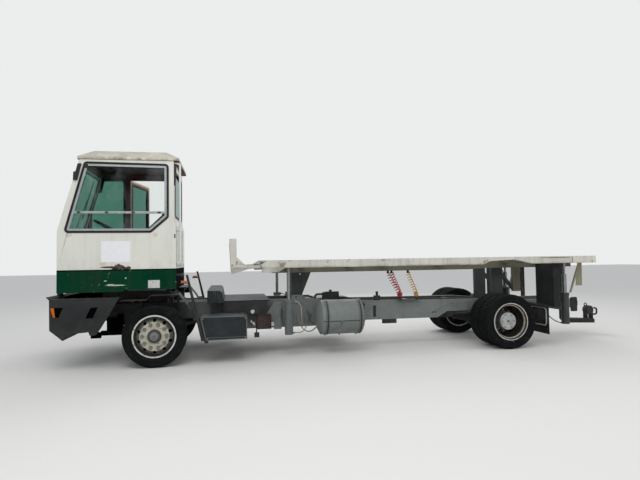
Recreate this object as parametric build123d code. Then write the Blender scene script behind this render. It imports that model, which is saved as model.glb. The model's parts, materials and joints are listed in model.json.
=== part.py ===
# Terminal tractor with a one-man cab and a lifting frame for swap bodies.
# Millimetres. X runs rearward, Y to the vehicle's right, Z up from the ground.
# All places are measured from the front axle, the centreline and the ground,
# and the whole vehicle is moved at the end so that X = 0 is the middle of its length.

from math import radians, tan
import os

from build123d import *

os.makedirs("parts", exist_ok=True)

# Overall

WHEELBASE = 5565
OVER_TYRES = 2440          # outer face to outer face of the tyres
SIDE = OVER_TYRES / 2
FIT = 0.3                  # gap between pieces that rest on each other
BORE_FIT = 0.05            # gap all round between a pin, rod or stub and its bore

# Wheels

TYRE_R = 443
TYRE_W = 285
SHOULDER_R = 424
BEAD_R = 283
FLANGE_R = 303
RIM_HALF = 120             # half width of the rim over its flanges
RIM_WALL = 11
DISC_WALL = 14
DUAL_PITCH = 322
STUD_CIRCLE_R = 167.5
STUD_COUNT = 10
HAND_HOLE_R = 24
HAND_HOLE_CIRCLE_R = 226
AXLE_Z = TYRE_R
FRONT_WHEEL_Y = SIDE - TYRE_W / 2
REAR_OUTER_Y = SIDE - TYRE_W / 2
REAR_INNER_Y = REAR_OUTER_Y - DUAL_PITCH

# Chassis rails, outer faces at RAIL_Y from the centreline

RAIL_Y = 430
RAIL_WEB = 9
RAIL_FLANGE = 80
RAIL_FRONT = -1180
RAIL_REAR = WHEELBASE + 1815
RAIL_H_TOP = 860           # top of the rails under the cab and the deck
DECK_TOP = RAIL_H_TOP + 20 # top of the plates behind the cab
# (x, z) stations along the rail's top and along its bottom
RAIL_TOP = [
    (RAIL_FRONT, RAIL_H_TOP), (2480, RAIL_H_TOP), (2640, 797),
    (WHEELBASE - 265, 775), (WHEELBASE + 485, 715), (RAIL_REAR, 715),
]
RAIL_BOTTOM = [
    (RAIL_FRONT, 640), (-760, 600), (720, 600), (960, 400), (2480, 400), (2640, 468),
    (WHEELBASE - 935, 462), (WHEELBASE - 745, 566), (WHEELBASE + 485, 560), (RAIL_REAR, 548),
]
WEB_SLOT = (3462, 3503, 520, 695)      # x0, x1, z0, z1 of a slot in each web
WEB_HOLES = [(WHEELBASE - 1020, 556), (WHEELBASE - 975, 556)]
WEB_HOLE_R = 14
FLITCH_X = (WHEELBASE - 545, WHEELBASE + 135)   # the doubling plate on the web over the rear axle
FLITCH_T = 6
FLITCH_IN = 12             # its edges, in from the rail's top and bottom

# Front bumper

BUMPER_OVER = 15           # the bumper stands out past the tyres
BUMPER_SIDE = SIDE + BUMPER_OVER
BUMPER_FRONT = -1366
BUMPER_LIP = -1412
BUMPER_TOP = 1008
BUMPER_LIP_TOP = 1042
BUMPER_WALL = 10
BUMPER_CHIN = 582
BUMPER_TIP_X = -1192
BUMPER_TIP_Z = 438
BUMPER_REAR_TOP = -462
BUMPER_REAR_LOW = -690
BUMPER_REAR_LOW_Z = 610

# Cab, on the left of the centreline

CAB_LEFT = -1170
CAB_RIGHT = 140
CAB_FRONT = -1295
CAB_REAR = 300
CAB_FLOOR = 1087
CAB_FLOOR_REAR = 1110
CAB_STEP_X = -430
BELT_Z = 1403
CAB_WALL = 36
CAB_KNEE_Z = 1950
CAB_TOP = 2968
CAB_TOP_FRONT = -1008
CAB_WAIST_Z = 2060
CAB_REAR_UPPER = 272
GLASS = 6
CAB_PIVOT_X = -1302
CAB_PIVOT_Z = 1066
PIVOT_R = 13

# Right door

DOOR_HINGE_X = -573
DOOR_W = 838
DOOR_BOTTOM = 1140
DOOR_TOP = 2880
DOOR_T = 38
DOOR_OPEN = 78.5
DOOR_STILE = 58

# Lift frame, shown raised

LIFT_TOP = 1500
LIFT_TRAVEL = 340
LIFT_RAIL_H = 116
LIFT_RAIL_W = 96
LIFT_SIDE = 1215
LIFT_FRONT = 1520
LIFT_REAR = WHEELBASE + 1600
LIFT_NOSE_H = 180
LIFT_NOSE_END = 1770
MAIN_BEAM_Y = 480          # inner face of the main beams
MAIN_BEAM_W = 110
MAIN_BEAM_H = 205
MAIN_BEAM_FRONT = 1620
MAIN_BEAM_REAR = WHEELBASE - 365
CROSS_W = 110
ARCH_FRONT = WHEELBASE - 465
ARCH_REAR = WHEELBASE + 420
ARCH_TOP = 1455

# Lift cylinders

CYL_Y = LIFT_SIDE - 295
CYL_FRONT_X = 1958
CYL_REAR_X = WHEELBASE + 1205
CYL_R = 65
CYL_BORE = 40
CYL_FRONT_Z = (352, 886)   # foot and mouth
CYL_REAR_Z = (332, 866)
COLLAR_R = 72
COLLAR_H = 46
PORT_R = 12
ROD_R = 27
ROD_STAGE_R = 37
ROD_FOOT = 724
GLAND_H = 30               # collar at the cylinder's mouth that the rod runs in
ROD_STAGE_TOP = 1185

# Guide columns, sliding inside the chassis rails

COLUMN_Y = 340             # outer face
COLUMN_T = 70
COLUMN_FRONT = (2080, 2260)
COLUMN_REAR = (WHEELBASE + 165, WHEELBASE + 385)
COLUMN_FOOT = 700

# Front axle and steering

KINGPIN_Y = FRONT_WHEEL_Y - 197.5
KINGPIN_R = 22
FRONT_BEAM_Z = 395
FRONT_BEAM_H = 95
FRONT_BEAM_W = 90
STUB_R = 42
ARM_X = 210
ARM_Z = 330
ROD_PIN_R = 12
TIE_R = 18
SPRING_W = 76
SPRING_LEAF = 14

# Tank on the left, with domed ends

TANK_X0 = 2392
TANK_X1 = 3200
TANK_R = 272
TANK_Y = -800
TANK_Z = 586
STRAP_T = 8
STRAP_W = 16
STRAP_PITCH = 36           # the straps lie in pairs

nodes = {}


def block(x0, x1, y0, y1, z0, z1):
    """A box by its lowest and highest corners."""
    return Pos((x0 + x1) / 2, (y0 + y1) / 2, (z0 + z1) / 2) * Box(x1 - x0, y1 - y0, z1 - z0)


def side_face(points, radius=0):
    """A flat face from (x, z) points, with every corner rounded by radius."""
    face = make_face(Polyline(*points, close=True))
    return fillet(face.vertices(), radius) if radius else face


def side_plate(points, y0, y1, radius=0):
    """An (x, z) outline, extruded across the vehicle from y0 to y1."""
    return extrude(Plane.XZ.offset(-y1) * side_face(points, radius), y1 - y0)


def end_plate(points, x0, x1, radius=0):
    """A (y, z) outline, extruded along the vehicle from x0 to x1."""
    return extrude(Plane.YZ.offset(x0) * side_face(points, radius), x1 - x0)


def floor_plate(points, z0, z1, radius=0):
    """An (x, y) outline, extruded upwards from z0 to z1."""
    return extrude(Plane.XY.offset(z0) * side_face(points, radius), z1 - z0)


def rod(start, end, radius):
    """A round bar between two points."""
    start, end = Vector(*start), Vector(*end)
    along = end - start
    return extrude(Plane(origin=start, z_dir=along) * Circle(radius), along.length)


def tube_path(points, radii, radius):
    """A round bar of straight runs joined by arcs."""
    path = FilletPolyline(*points, radius=radii)
    start = path @ 0
    return sweep(Plane(origin=start, z_dir=path % 0) * Circle(radius), path)


def right_of(solid):
    """The same piece on the other side of the centreline."""
    return mirror(solid, about=Plane.XZ)


def both(solid):
    return [solid, right_of(solid)]


def turned(profile):
    """A (radius, offset) outline turned about the Y axis."""
    return revolve(profile, Axis.Y)


# Chassis

def height_at(stations, x):
    """Height of a line of (x, z) stations at a place along it."""
    for (xa, za), (xb, zb) in zip(stations, stations[1:]):
        if xa <= x <= xb:
            return za + (x - xa) / (xb - xa) * (zb - za)
    raise ValueError("no rail at this place")


def rail_z(x):
    """Top and bottom of the rail at a place along it."""
    return height_at(RAIL_TOP, x), height_at(RAIL_BOTTOM, x)


def make_rails():
    """Two channels with their webs outside and their flanges turned in."""
    body = side_plate(RAIL_TOP + RAIL_BOTTOM[::-1], -RAIL_Y, -RAIL_Y + RAIL_FLANGE)
    top = [(x, z - RAIL_WEB) for x, z in RAIL_TOP]
    bottom = [(x, z + RAIL_WEB) for x, z in RAIL_BOTTOM]
    top[0], bottom[0] = (RAIL_FRONT - 1, top[0][1]), (RAIL_FRONT - 1, bottom[0][1])
    top[-1], bottom[-1] = (RAIL_REAR + 1, top[-1][1]), (RAIL_REAR + 1, bottom[-1][1])
    inner = side_plate(top + bottom[::-1], -RAIL_Y + RAIL_WEB, -RAIL_Y + RAIL_FLANGE + 1)
    x0, x1, z0, z1 = WEB_SLOT
    rail = body - inner - block(x0, x1, -RAIL_Y - 1, -RAIL_Y + RAIL_WEB + 1, z0, z1)
    for x, z in WEB_HOLES:
        rail -= rod((x, -RAIL_Y - 1, z), (x, -RAIL_Y + RAIL_WEB + 1, z), WEB_HOLE_R)
    places = (FLITCH_X[0], WHEELBASE - 265, FLITCH_X[1])
    upper = [(x, rail_z(x)[0] - FLITCH_IN) for x in places]
    lower = [(x, rail_z(x)[1] + FLITCH_IN) for x in reversed(places)]
    return both(rail + side_plate(upper + lower, -RAIL_Y - FLITCH_T, -RAIL_Y))


# cross members: x of the middle, height, distance of the top below the rail's top
CROSS_MEMBERS = [
    (-1080, 130, 40),
    (1560, 120, 30),
    (2420, 110, 30),
    (3320, 110, 30),
    (4250, 110, 30),
    (WHEELBASE - 485, 100, 30),
    (WHEELBASE + 915, 90, 40),
]
CROSS_MEMBER_W = 90


def make_cross_members():
    solids = []
    reach = RAIL_Y - RAIL_WEB
    for x, height, down in CROSS_MEMBERS:
        top = min(rail_z(x - CROSS_MEMBER_W / 2)[0], rail_z(x + CROSS_MEMBER_W / 2)[0]) - down
        half = CROSS_MEMBER_W / 2
        beam = block(x - half, x + half, -reach, reach, top - height, top)
        hollow = block(x - half + RAIL_WEB, x + half, -reach, reach, top - height + RAIL_WEB, top - RAIL_WEB)
        solids.append(beam - hollow)
    return solids


# Bumper

def cheek_outline():
    return [
        (BUMPER_FRONT, BUMPER_TOP),
        (BUMPER_FRONT + 8, BUMPER_CHIN),
        (BUMPER_TIP_X, BUMPER_TIP_Z),
        (BUMPER_TIP_X + 147, 531),
        (BUMPER_TIP_X + 330, 545),
        (BUMPER_TIP_X + 345, 498),
        (BUMPER_TIP_X + 428, 502),
        (BUMPER_REAR_LOW, BUMPER_REAR_LOW_Z),
        (BUMPER_REAR_TOP, BUMPER_TOP),
    ]


LAMP_SLOT = [(-1358, 896), (-1188, 892), (-1246, 756), (-1318, 756)]
CHEEK_SLOT = [(-836, 884), (-738, 884), (-806, 734), (-906, 734)]
LEDGE_W = 150


def make_cheeks():
    """Steel side plates with a slot for a lamp and a slanted slot, and a ledge on top."""
    y0, y1 = -BUMPER_SIDE, -BUMPER_SIDE + BUMPER_WALL
    cheek = side_plate(cheek_outline(), y0, y1)
    for slot in (LAMP_SLOT, CHEEK_SLOT):
        cheek -= side_plate(slot, y0 - 1, y1 + 1)
    ledge = block(BUMPER_FRONT + BUMPER_WALL + 4 + FIT, BUMPER_REAR_TOP, y1, y0 + LEDGE_W,
                  BUMPER_TOP - BUMPER_WALL, BUMPER_TOP)
    return both(cheek + ledge)


HEADLAMP_Y = (BUMPER_SIDE - 475, BUMPER_SIDE - 225)
HEADLAMP_Z = 800
HEADLAMP_R = 82
GRILLE_HALF = BUMPER_SIDE - 905
GRILLE_SLOT_H = 34
GRILLE_SLOTS = 5


def make_bumper():
    """The front plate with its chin, lip, lamp holes and air slots."""
    side = BUMPER_SIDE - BUMPER_WALL - FIT
    lip = [
        (BUMPER_FRONT, BUMPER_CHIN),
        (BUMPER_FRONT - 6, BUMPER_TOP - 10),
        (BUMPER_LIP, BUMPER_LIP_TOP - 6),
        (BUMPER_LIP + 8, BUMPER_LIP_TOP),
        (BUMPER_FRONT + BUMPER_WALL + 4, BUMPER_TOP + 6),
        (BUMPER_FRONT + BUMPER_WALL, BUMPER_CHIN + 4),
        (BUMPER_TIP_X + 6, BUMPER_TIP_Z + 8),
        (BUMPER_TIP_X, BUMPER_TIP_Z),
    ]
    plate = side_plate(lip, -side, side)
    for y in HEADLAMP_Y:
        for sign in (-1, 1):
            plate -= rod((BUMPER_LIP - 40, sign * y, HEADLAMP_Z), (BUMPER_FRONT + 60, sign * y, HEADLAMP_Z), HEADLAMP_R)
    for i in range(GRILLE_SLOTS):
        z = 660 + i * 66
        plate -= block(BUMPER_LIP - 10, BUMPER_FRONT + 40, -GRILLE_HALF, GRILLE_HALF, z, z + GRILLE_SLOT_H)
    for bracket in both(block(BUMPER_FRONT + BUMPER_WALL, RAIL_FRONT - FIT, -RAIL_Y, -RAIL_Y + RAIL_FLANGE,
                              RAIL_H_TOP - 190, RAIL_H_TOP - 20)):
        plate += bracket
    return [plate]


def make_headlamps():
    solids = []
    for y in HEADLAMP_Y:
        for sign in (-1, 1):
            back = BUMPER_FRONT + 70
            solids.append(rod((BUMPER_FRONT - 4, sign * y, HEADLAMP_Z), (back, sign * y, HEADLAMP_Z), HEADLAMP_R - FIT))
    return solids


SLOT_LAMP_Z = (762, 890)
MARKER_Z = (1196, 1226)


def make_marker_lamps():
    """Amber lamps in the bumper's side slots and on the brackets behind the cab."""
    y0 = -BUMPER_SIDE + 2
    low, high = SLOT_LAMP_Z
    seat = BUMPER_FRONT + BUMPER_WALL + 4
    lamp = side_plate([(-1350, high), (-1308, high), (-1290, low), (-1314, low)], y0, y0 + 60)
    lamp += side_plate([(seat, high), (-1308, high), (-1290, low), (seat, low)],
                       -BUMPER_SIDE + BUMPER_WALL + FIT, y0 + 60)
    marker = block(372, 452, -SIDE + 10, -SIDE + 34, *MARKER_Z)
    return both(lamp) + both(marker)


# Cab mounts

MOUNT_Y = (-1000, -80)
MOUNT_T = 30
EAR_GAP = 5                # between a mount's ear and the cab's
CAB_REST_X = (120, 180)
CAB_REST_Z = 960


def make_cab_mounts():
    """Two pivot brackets with their pins at the front, and a rest for the cab's rear."""
    seat = RAIL_H_TOP + FIT
    front = block(RAIL_FRONT - 60, RAIL_FRONT + 60, MOUNT_Y[0] - 40, RAIL_Y, seat, seat + 40)
    for y in MOUNT_Y:
        front += side_plate([
            (CAB_PIVOT_X + 22, CAB_PIVOT_Z + 16), (CAB_PIVOT_X - 16, CAB_PIVOT_Z + 16),
            (CAB_PIVOT_X - 22, CAB_PIVOT_Z - 20), (CAB_PIVOT_X + 2, seat + 30), (RAIL_FRONT, seat + 10),
            (RAIL_FRONT, seat + 100),
        ], y, y + MOUNT_T)
        front += rod((CAB_PIVOT_X, y - MOUNT_T - EAR_GAP - 4, CAB_PIVOT_Z), (CAB_PIVOT_X, y + MOUNT_T, CAB_PIVOT_Z), PIVOT_R)
    x0, x1 = CAB_REST_X
    bar = CAB_REST_Z
    rest = block(x0, x1, CAB_LEFT + 330, RAIL_Y, bar, bar + 60)
    for y in (-RAIL_Y, RAIL_Y - RAIL_FLANGE):
        rest += block(x0, x1, y, y + RAIL_FLANGE, seat, bar + 10)
    for y in (CAB_LEFT + 390, CAB_RIGHT - 150):
        rest += rod(((x0 + x1) / 2, y, bar + 50), ((x0 + x1) / 2, y, CAB_FLOOR_REAR - FIT), 28)
    return [front, rest]


# Axles and springs

def make_front_axle():
    """A forged beam with a dropped middle and an eye for each kingpin."""
    z0, z1 = FRONT_BEAM_Z - FRONT_BEAM_H / 2, FRONT_BEAM_Z + FRONT_BEAM_H / 2
    beam = end_plate([
        (-KINGPIN_Y + 40, AXLE_Z + 34), (-KINGPIN_Y + 60, AXLE_Z - 34), (-KINGPIN_Y + 150, z0 + 8),
        (-560, z0), (560, z0), (KINGPIN_Y - 150, z0 + 8), (KINGPIN_Y - 60, AXLE_Z - 34),
        (KINGPIN_Y - 40, AXLE_Z + 34), (KINGPIN_Y - 150, z1 + 4), (560, z1), (-560, z1), (-KINGPIN_Y + 150, z1 + 4),
    ], -FRONT_BEAM_W / 2, FRONT_BEAM_W / 2)
    for side in (-1, 1):
        beam -= block(FRONT_BEAM_W / 2 - 30, FRONT_BEAM_W, -KINGPIN_Y + 170, KINGPIN_Y - 170, z0 + 20, z1 - 20)
        beam -= block(-FRONT_BEAM_W, -FRONT_BEAM_W / 2 + 30, -KINGPIN_Y + 170, KINGPIN_Y - 170, z0 + 20, z1 - 20)
    for y in (-KINGPIN_Y, KINGPIN_Y):
        beam += rod((0, y, AXLE_Z - 34), (0, y, AXLE_Z + 34), 48)
    return [beam]


FRONT_SPRING = (-640, 640, -RAIL_Y + 40)     # x0, x1, y of the middle
REAR_SPRING = (WHEELBASE - 690, WHEELBASE + 690, -RAIL_Y + 40)
REAR_AXLE_R = 72


def leaf_spring(x0, x1, y, seat_z, hang_z, leaves):
    """A stack of leaves, flat in the middle, with its eyes in hangers under the rail."""
    solids = []
    mid = (x0 + x1) / 2
    rise = hang_z - seat_z
    thick = leaves * SPRING_LEAF
    outline = [(x0, seat_z + rise), (x0, seat_z + rise + SPRING_LEAF), (mid - 120, seat_z + thick),
               (mid + 120, seat_z + thick), (x1, seat_z + rise + SPRING_LEAF), (x1, seat_z + rise), (mid + 120, seat_z),
               (mid - 120, seat_z)]
    leaf = side_plate(outline, y - SPRING_W / 2, y + SPRING_W / 2)
    for x in (x0, x1):
        top = min(rail_z(x - 46)[1], rail_z(x + 46)[1]) - FIT
        eye = side_plate([(x - 46, top), (x + 46, top), (x + 28, hang_z - 22), (x - 28, hang_z - 22)],
                         y - SPRING_W / 2, y + SPRING_W / 2)
        leaf += eye
    solids.append(leaf)
    return solids


def make_springs():
    solids = []
    front_seat = FRONT_BEAM_Z + FRONT_BEAM_H / 2 + FIT
    x0, x1, y = FRONT_SPRING
    for spring in leaf_spring(x0, x1, y, front_seat, 540, 5):
        solids += both(spring)
    x0, x1, y = REAR_SPRING
    for spring in leaf_spring(x0, x1, y, AXLE_Z + REAR_AXLE_R + FIT, 500, 2):
        solids += both(spring)
    return solids


def make_rear_axle():
    """The axle tube with its round drive housing and the shaft that drives it."""
    reach = REAR_OUTER_Y - DUAL_PITCH / 2 - DISC_WALL - 2
    tube = rod((WHEELBASE, -reach, AXLE_Z), (WHEELBASE, reach, AXLE_Z), REAR_AXLE_R)
    bowl = rod((WHEELBASE, -90, AXLE_Z), (WHEELBASE, 90, AXLE_Z), 205)
    bowl = chamfer(bowl.edges().filter_by(GeomType.CIRCLE), 45)
    nose = Pos(WHEELBASE - 300, 0, AXLE_Z) * Rot(0, 90, 0) * Cone(70, 120, 260)
    shaft = rod((ENGINE[1] + 4, 0, SHAFT_Z), (WHEELBASE - 425, 0, AXLE_Z + 4), 48)
    return [tube + bowl + nose + shaft]


# Engine and gearbox: x0, x1, half width, z0, z1
ENGINE = (-620, 1420, 300, 520, 845)
ENGINE_HUMP = (-900, 80, 300, 1036)
ENGINE_FEET = (-300, 1000)
SHAFT_Z = 590


def make_engine():
    x0, x1, half, z0, z1 = ENGINE
    body = block(x0, x1, -half, half, z0, z1)
    hx0, hx1, hhalf, hz = ENGINE_HUMP
    body += block(hx0, hx1, -hhalf, hhalf, z1, hz)
    for x in ENGINE_FEET:
        foot = block(x - 40, x + 40, -RAIL_Y + RAIL_WEB + FIT, -half + 1, 660, 740)
        body += foot + right_of(foot)
    cross_x = CROSS_MEMBERS[0][0] + CROSS_MEMBER_W / 2 + FIT
    radiator = block(cross_x + 20, cross_x + 100, -half, half, 560, RAIL_H_TOP - 20)
    radiator += block(cross_x, cross_x + 21, -200, 200, RAIL_H_TOP - 60, RAIL_H_TOP - 35)
    return [body, radiator]


# Mudguards

GUARD_IN = 880
GUARD_T = 6
GUARD_TOP = 1028
GUARD_LINKS = [(476, 800), (545, 652)]
GUARD_STAYS = [(-300, 962 - GUARD_T), (260, GUARD_TOP - GUARD_T)]


def make_mudguards():
    """A folded sheet over each front wheel, with a slanted panel behind it that holds a lamp."""
    top = [(-478, 962), (-120, 962), (-50, GUARD_TOP), (340, GUARD_TOP), (452, 880), (560, 640)]
    under = [(554, 638), (446, 876), (336, GUARD_TOP - GUARD_T), (-48, GUARD_TOP - GUARD_T), (-118, 956), (-478, 956)]
    sheet = side_plate(top + under, -SIDE + 30, -GUARD_IN)
    panel = side_plate([(436, 1310), (468, 1310), (566, 905), (690, 352), (650, 352), (530, 880)],
                       -SIDE + 6, -SIDE + 30)
    shelf = block(362, 470, -SIDE + 10, -SIDE + 110, MARKER_Z[0] - 14, MARKER_Z[0] - FIT)
    for x, z in GUARD_LINKS:
        shelf += block(x, x + 80, -SIDE + 16, -SIDE + 55, z, z + 30)
    for x, z in GUARD_STAYS:
        shelf += block(x - 20, x + 20, -SIDE + 60, -RAIL_Y - FIT, z - 24, z)
        shelf += block(x - 20, x + 20, -RAIL_Y - FIT - 40, -RAIL_Y - FIT, RAIL_H_TOP - 90, z)
    return both(sheet + panel + shelf)


# Boxes, steps and decks

BOX_REAR = 1306
BOX_TOP = 700
BOX_IN = -760
DECK_UNDER = RAIL_H_TOP + FIT
RIGHT_DECK_Z = 1040
RIGHT_DECK_T = 22
SKIRT_T = 9.7


def make_step_boxes():
    """The battery box on the left and the step box on the right, slanted at the front."""
    box = side_plate([(636, BOX_TOP), (BOX_REAR, BOX_TOP - 6), (BOX_REAR, 360), (712, 352)], -SIDE + 4, BOX_IN)
    arm = block(760, 820, BOX_IN, -RAIL_Y - FIT, 620, 680) + block(1200, 1260, BOX_IN, -RAIL_Y - FIT, 480, 560)
    return both(box + arm)


def make_decks():
    """Chequer plates: beside the cab on the right, behind the cab, and over the rails."""
    right = block(-1250, 330, CAB_RIGHT + DOOR_T + 30, SIDE - 20, RIGHT_DECK_Z, RIGHT_DECK_Z + RIGHT_DECK_T)
    for x in (-1000, -350, 250):
        right += block(x - 30, x + 30, RAIL_Y - 70, RAIL_Y - 10, DECK_UNDER, RIGHT_DECK_Z)
    skirt = [(-1250, 1012), (-1250, RIGHT_DECK_Z), (330, RIGHT_DECK_Z), (330, 905), (-440, 905), (-440, 1012)]
    right += side_plate(skirt, SIDE - 20 - SKIRT_T, SIDE - 20)
    hump = side_plate([(724, DECK_UNDER), (724, 1050), (915, 1050), (945, 1020), (975, DECK_UNDER)], -870, 870)
    walk = block(975, 1690, -720, 720, DECK_UNDER, DECK_TOP)
    return [right, hump + walk]


def make_side_boxes():
    """Left: a long box under the deck and the oil cooler. Right: an air box."""
    top = DECK_UNDER - FIT
    left = side_plate([(950, top), (1640, top), (1600, 760), (1560, 660), (950, 645)], -720, -RAIL_Y - FIT)
    left += block(1480, 1700, -740, -640, 424, 650) + block(1490, 1550, -715, -665, 640, 700)
    right = block(1340, 1620, RAIL_Y + FIT, 780, 470, top)
    return [left, right]


# Tanks

DOME = 80
TANK_PORTS = [(TANK_X0 + 6, -700, 394), (TANK_X0 + 6, -720, 466)]      # where the oil hoses end
TANK_UNIONS = [(0.814, 0, 0.581), (0.835, -0.126, -0.535)]            # each union's direction into the dome


def dome_arc(base, rise):
    """A shallow dish from the tank's edge to its middle, as an arc in (radius, length)."""
    ball = (TANK_R ** 2 + DOME ** 2) / (2 * DOME)
    r = TANK_R * 0.6
    drop = ball - (ball ** 2 - r ** 2) ** 0.5
    return ThreePointArc((TANK_R, base), (r, base + rise * (DOME - drop)), (0, base + rise * DOME))


def make_air_tank():
    """The round tank: a rolled shell with domed ends, its straps, its hangers and drain bosses."""
    length = TANK_X1 - TANK_X0
    profile = Line((0, 0), (0, length)) + dome_arc(length - DOME, 1)
    profile += Line((TANK_R, length - DOME), (TANK_R, DOME)) + dome_arc(DOME, -1)
    shell = Pos(TANK_X0, TANK_Y, TANK_Z) * Rot(0, 0, -90) * revolve(make_face(profile), Axis.Y)
    half = STRAP_W / 2
    for middle in (TANK_X0 + 160, TANK_X1 - 120):
        for x in (middle - STRAP_PITCH / 2, middle + STRAP_PITCH / 2):
            shell += rod((x - half, TANK_Y, TANK_Z), (x + half, TANK_Y, TANK_Z), TANK_R + STRAP_T)
        reach = STRAP_PITCH / 2 + half
        shell += block(middle - reach, middle + reach, TANK_Y + 120, -RAIL_Y - FIT, 640, 770)
    for x in (TANK_X0 + 150, TANK_X0 + 390, TANK_X1 - 150):
        shell += rod((x, TANK_Y, TANK_Z - TANK_R - 18), (x, TANK_Y, TANK_Z - TANK_R + 20), 14)
    for port, inward in zip(TANK_PORTS, TANK_UNIONS):
        port, inward = Vector(*port), Vector(*inward)
        shell += rod(port + inward * FIT, port + inward * 60, 11)
    return [shell]


FUEL_X = (2380, 3260)


def make_fuel_tank():
    x0, x1 = FUEL_X
    tank = block(x0, x1, RAIL_Y + 110, SIDE - 60, 330, 790)
    tank = fillet(tank.edges().filter_by(Axis.X), 60)
    for x in (x0 + 160, x1 - 200):
        tank += block(x, x + 50, RAIL_Y + FIT, RAIL_Y + 140, 520, 760)
    return [tank]


# Lift cylinders on their outriggers

ARM_HALF = 70              # half width of a cylinder's outrigger
GUIDE_PLATE_T = 12.7
RACK = (3270, 3385, 520, 765)          # x0, x1, z0, z1 of the slatted bracket behind the tank
RACK_Y = -600
RACK_SLATS = 4


def make_side_brackets():
    """Outriggers that carry the lift cylinders, and the plates and the rack on the rails' webs."""
    solids = []
    seat = -RAIL_Y - FIT
    for x, z0, z1 in ((CYL_FRONT_X, 540, 720), (CYL_REAR_X, 570, 700)):
        arm = block(x - ARM_HALF, x + ARM_HALF, -CYL_Y, seat, z0, z1)
        arm -= rod((x, -CYL_Y, z0 - 1), (x, -CYL_Y, z1 + 1), CYL_R + FIT)
        solids += both(arm)
    chevron = side_plate([(1640, 650), (1760, 835), (1876, 835), (1876, 395), (1760, 395)], -600, -588)
    chevron += block(1700, 1876, -600, seat, 560, 590)
    solids += both(chevron)
    guide = block(COLUMN_FRONT[0] - 20, COLUMN_FRONT[1] + 2, seat - GUIDE_PLATE_T, seat, 785, 925)
    hole_x = COLUMN_FRONT[0] + 60
    guide -= rod((hole_x, seat - GUIDE_PLATE_T - 1, 888), (hole_x, seat + 1, 888), 13)
    solids += both(guide)
    solids += both(block(COLUMN_REAR[0] - 15, COLUMN_REAR[1] + 15, seat - GUIDE_PLATE_T, seat, 662, 790))
    x0, x1, z0, z1 = RACK
    rack = block(x0, x1, RACK_Y, RACK_Y + 12, z0, z1) + block(x0, x0 + 12, RACK_Y, seat, z0, z1)
    pitch = (z1 - z0 - 20) / RACK_SLATS
    for i in range(RACK_SLATS):
        z = z0 + 20 + i * pitch
        rack -= block(x0 + 22, x1 - 12, RACK_Y - 1, RACK_Y + 13, z, z + pitch - 24)
    return solids + [rack]


PORT_OUT = 26              # a port's end, out from the cylinder's wall
PIPE_R = 7


def upright(x, z0, z1, radius):
    """A round bar on a lift cylinder's axis, with its seam turned away from the ports."""
    return rod((x, -CYL_Y, z0), (x, -CYL_Y, z1), radius).rotate(Axis((x, -CYL_Y, 0), (0, 0, 1)), 135)


def make_cylinders():
    """Four lift cylinders: closed at the foot, bored for the rod, with a collar and oil ports."""
    solids = []
    for x, stage, (foot, mouth) in ((CYL_FRONT_X, ROD_R, CYL_FRONT_Z), (CYL_REAR_X, ROD_STAGE_R, CYL_REAR_Z)):
        tube = upright(x, foot, mouth, CYL_R) + upright(x, mouth - COLLAR_H, mouth, COLLAR_R)
        y = -CYL_Y + PORT_R
        reach = x + CYL_R + PORT_OUT
        for z in (foot + 20, mouth - COLLAR_H / 2):
            tube += rod((x, y, z), (reach, y, z), PORT_R)
        if x == CYL_REAR_X:
            pipe_x = reach - PIPE_R - 4
            tube += rod((pipe_x, y, foot + 20), (pipe_x, y, mouth - COLLAR_H / 2), PIPE_R)
            tube += rod((x, -CYL_Y, foot + 20), (x - CYL_R - PORT_OUT, -CYL_Y, foot + 20), PORT_R)
        tube -= upright(x, foot + 26, mouth - GLAND_H, CYL_BORE)
        tube -= upright(x, foot + 26, mouth + 1, stage + BORE_FIT)
        solids += both(tube)
    return solids


# Rear mud flaps and the tail

FLAP_X = WHEELBASE + 670
FLAP_IN = -640
FLAP_Z = (213, 700)
LOOP_R = 11


def make_flaps():
    return both(block(FLAP_X, FLAP_X + 10, -SIDE + 6, FLAP_IN, *FLAP_Z))


def make_flap_frames():
    """A bent steel loop in front of each flap, on a bar from the rail."""
    x = FLAP_X - FIT - LOOP_R
    y0, y1 = -SIDE + 48, FLAP_IN - 124
    mid = (y0 + y1) / 2
    frame = block(x - LOOP_R - 8, x + LOOP_R, -SIDE + 30, -RAIL_Y - FIT, 652, 692)
    for y in (y0, y1):
        frame += tube_path([(x, mid, 644), (x, y, 644), (x, y, 353), (x, mid, 353)], 60, LOOP_R)
    return both(frame)


TAIL_Z = (562, 700)
TAIL_DEPTH = 110
TAIL_OUT = 5               # the tail beam stands out past the rails
TAIL_END = RAIL_REAR + TAIL_OUT
CHEEK_Z = (478, 741)
CHEEK_T = 12


def make_tail_beam():
    """The rear beam between the rails, with a rounded plate outside each rail's end."""
    reach = RAIL_Y - RAIL_WEB - FIT
    beam = block(TAIL_END - TAIL_DEPTH, TAIL_END, -reach, reach, *TAIL_Z)
    cheek = block(TAIL_END - TAIL_DEPTH - 26, TAIL_END, -RAIL_Y - FIT - CHEEK_T, -RAIL_Y - FIT, *CHEEK_Z)
    return [beam] + both(fillet(cheek.edges().filter_by(Axis.Y), 24))


def make_tail_lamps():
    lamp = block(TAIL_END + FIT, TAIL_END + 30, -RAIL_Y + 15, -RAIL_Y + 230, TAIL_Z[0] + 14, TAIL_Z[1] - 14)
    return both(fillet(lamp.edges().filter_by(Axis.X), 18))


COUPLING_Z = 445
COUPLING_END = RAIL_REAR + 792
COUPLING_HEAD_X = COUPLING_END - 207
COUPLING_HEAD_R = 84
DRAWBAR_Z = (196, 286)     # bottom and top of the drop arm where it runs to the rear
HOOK_R = 16


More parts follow.
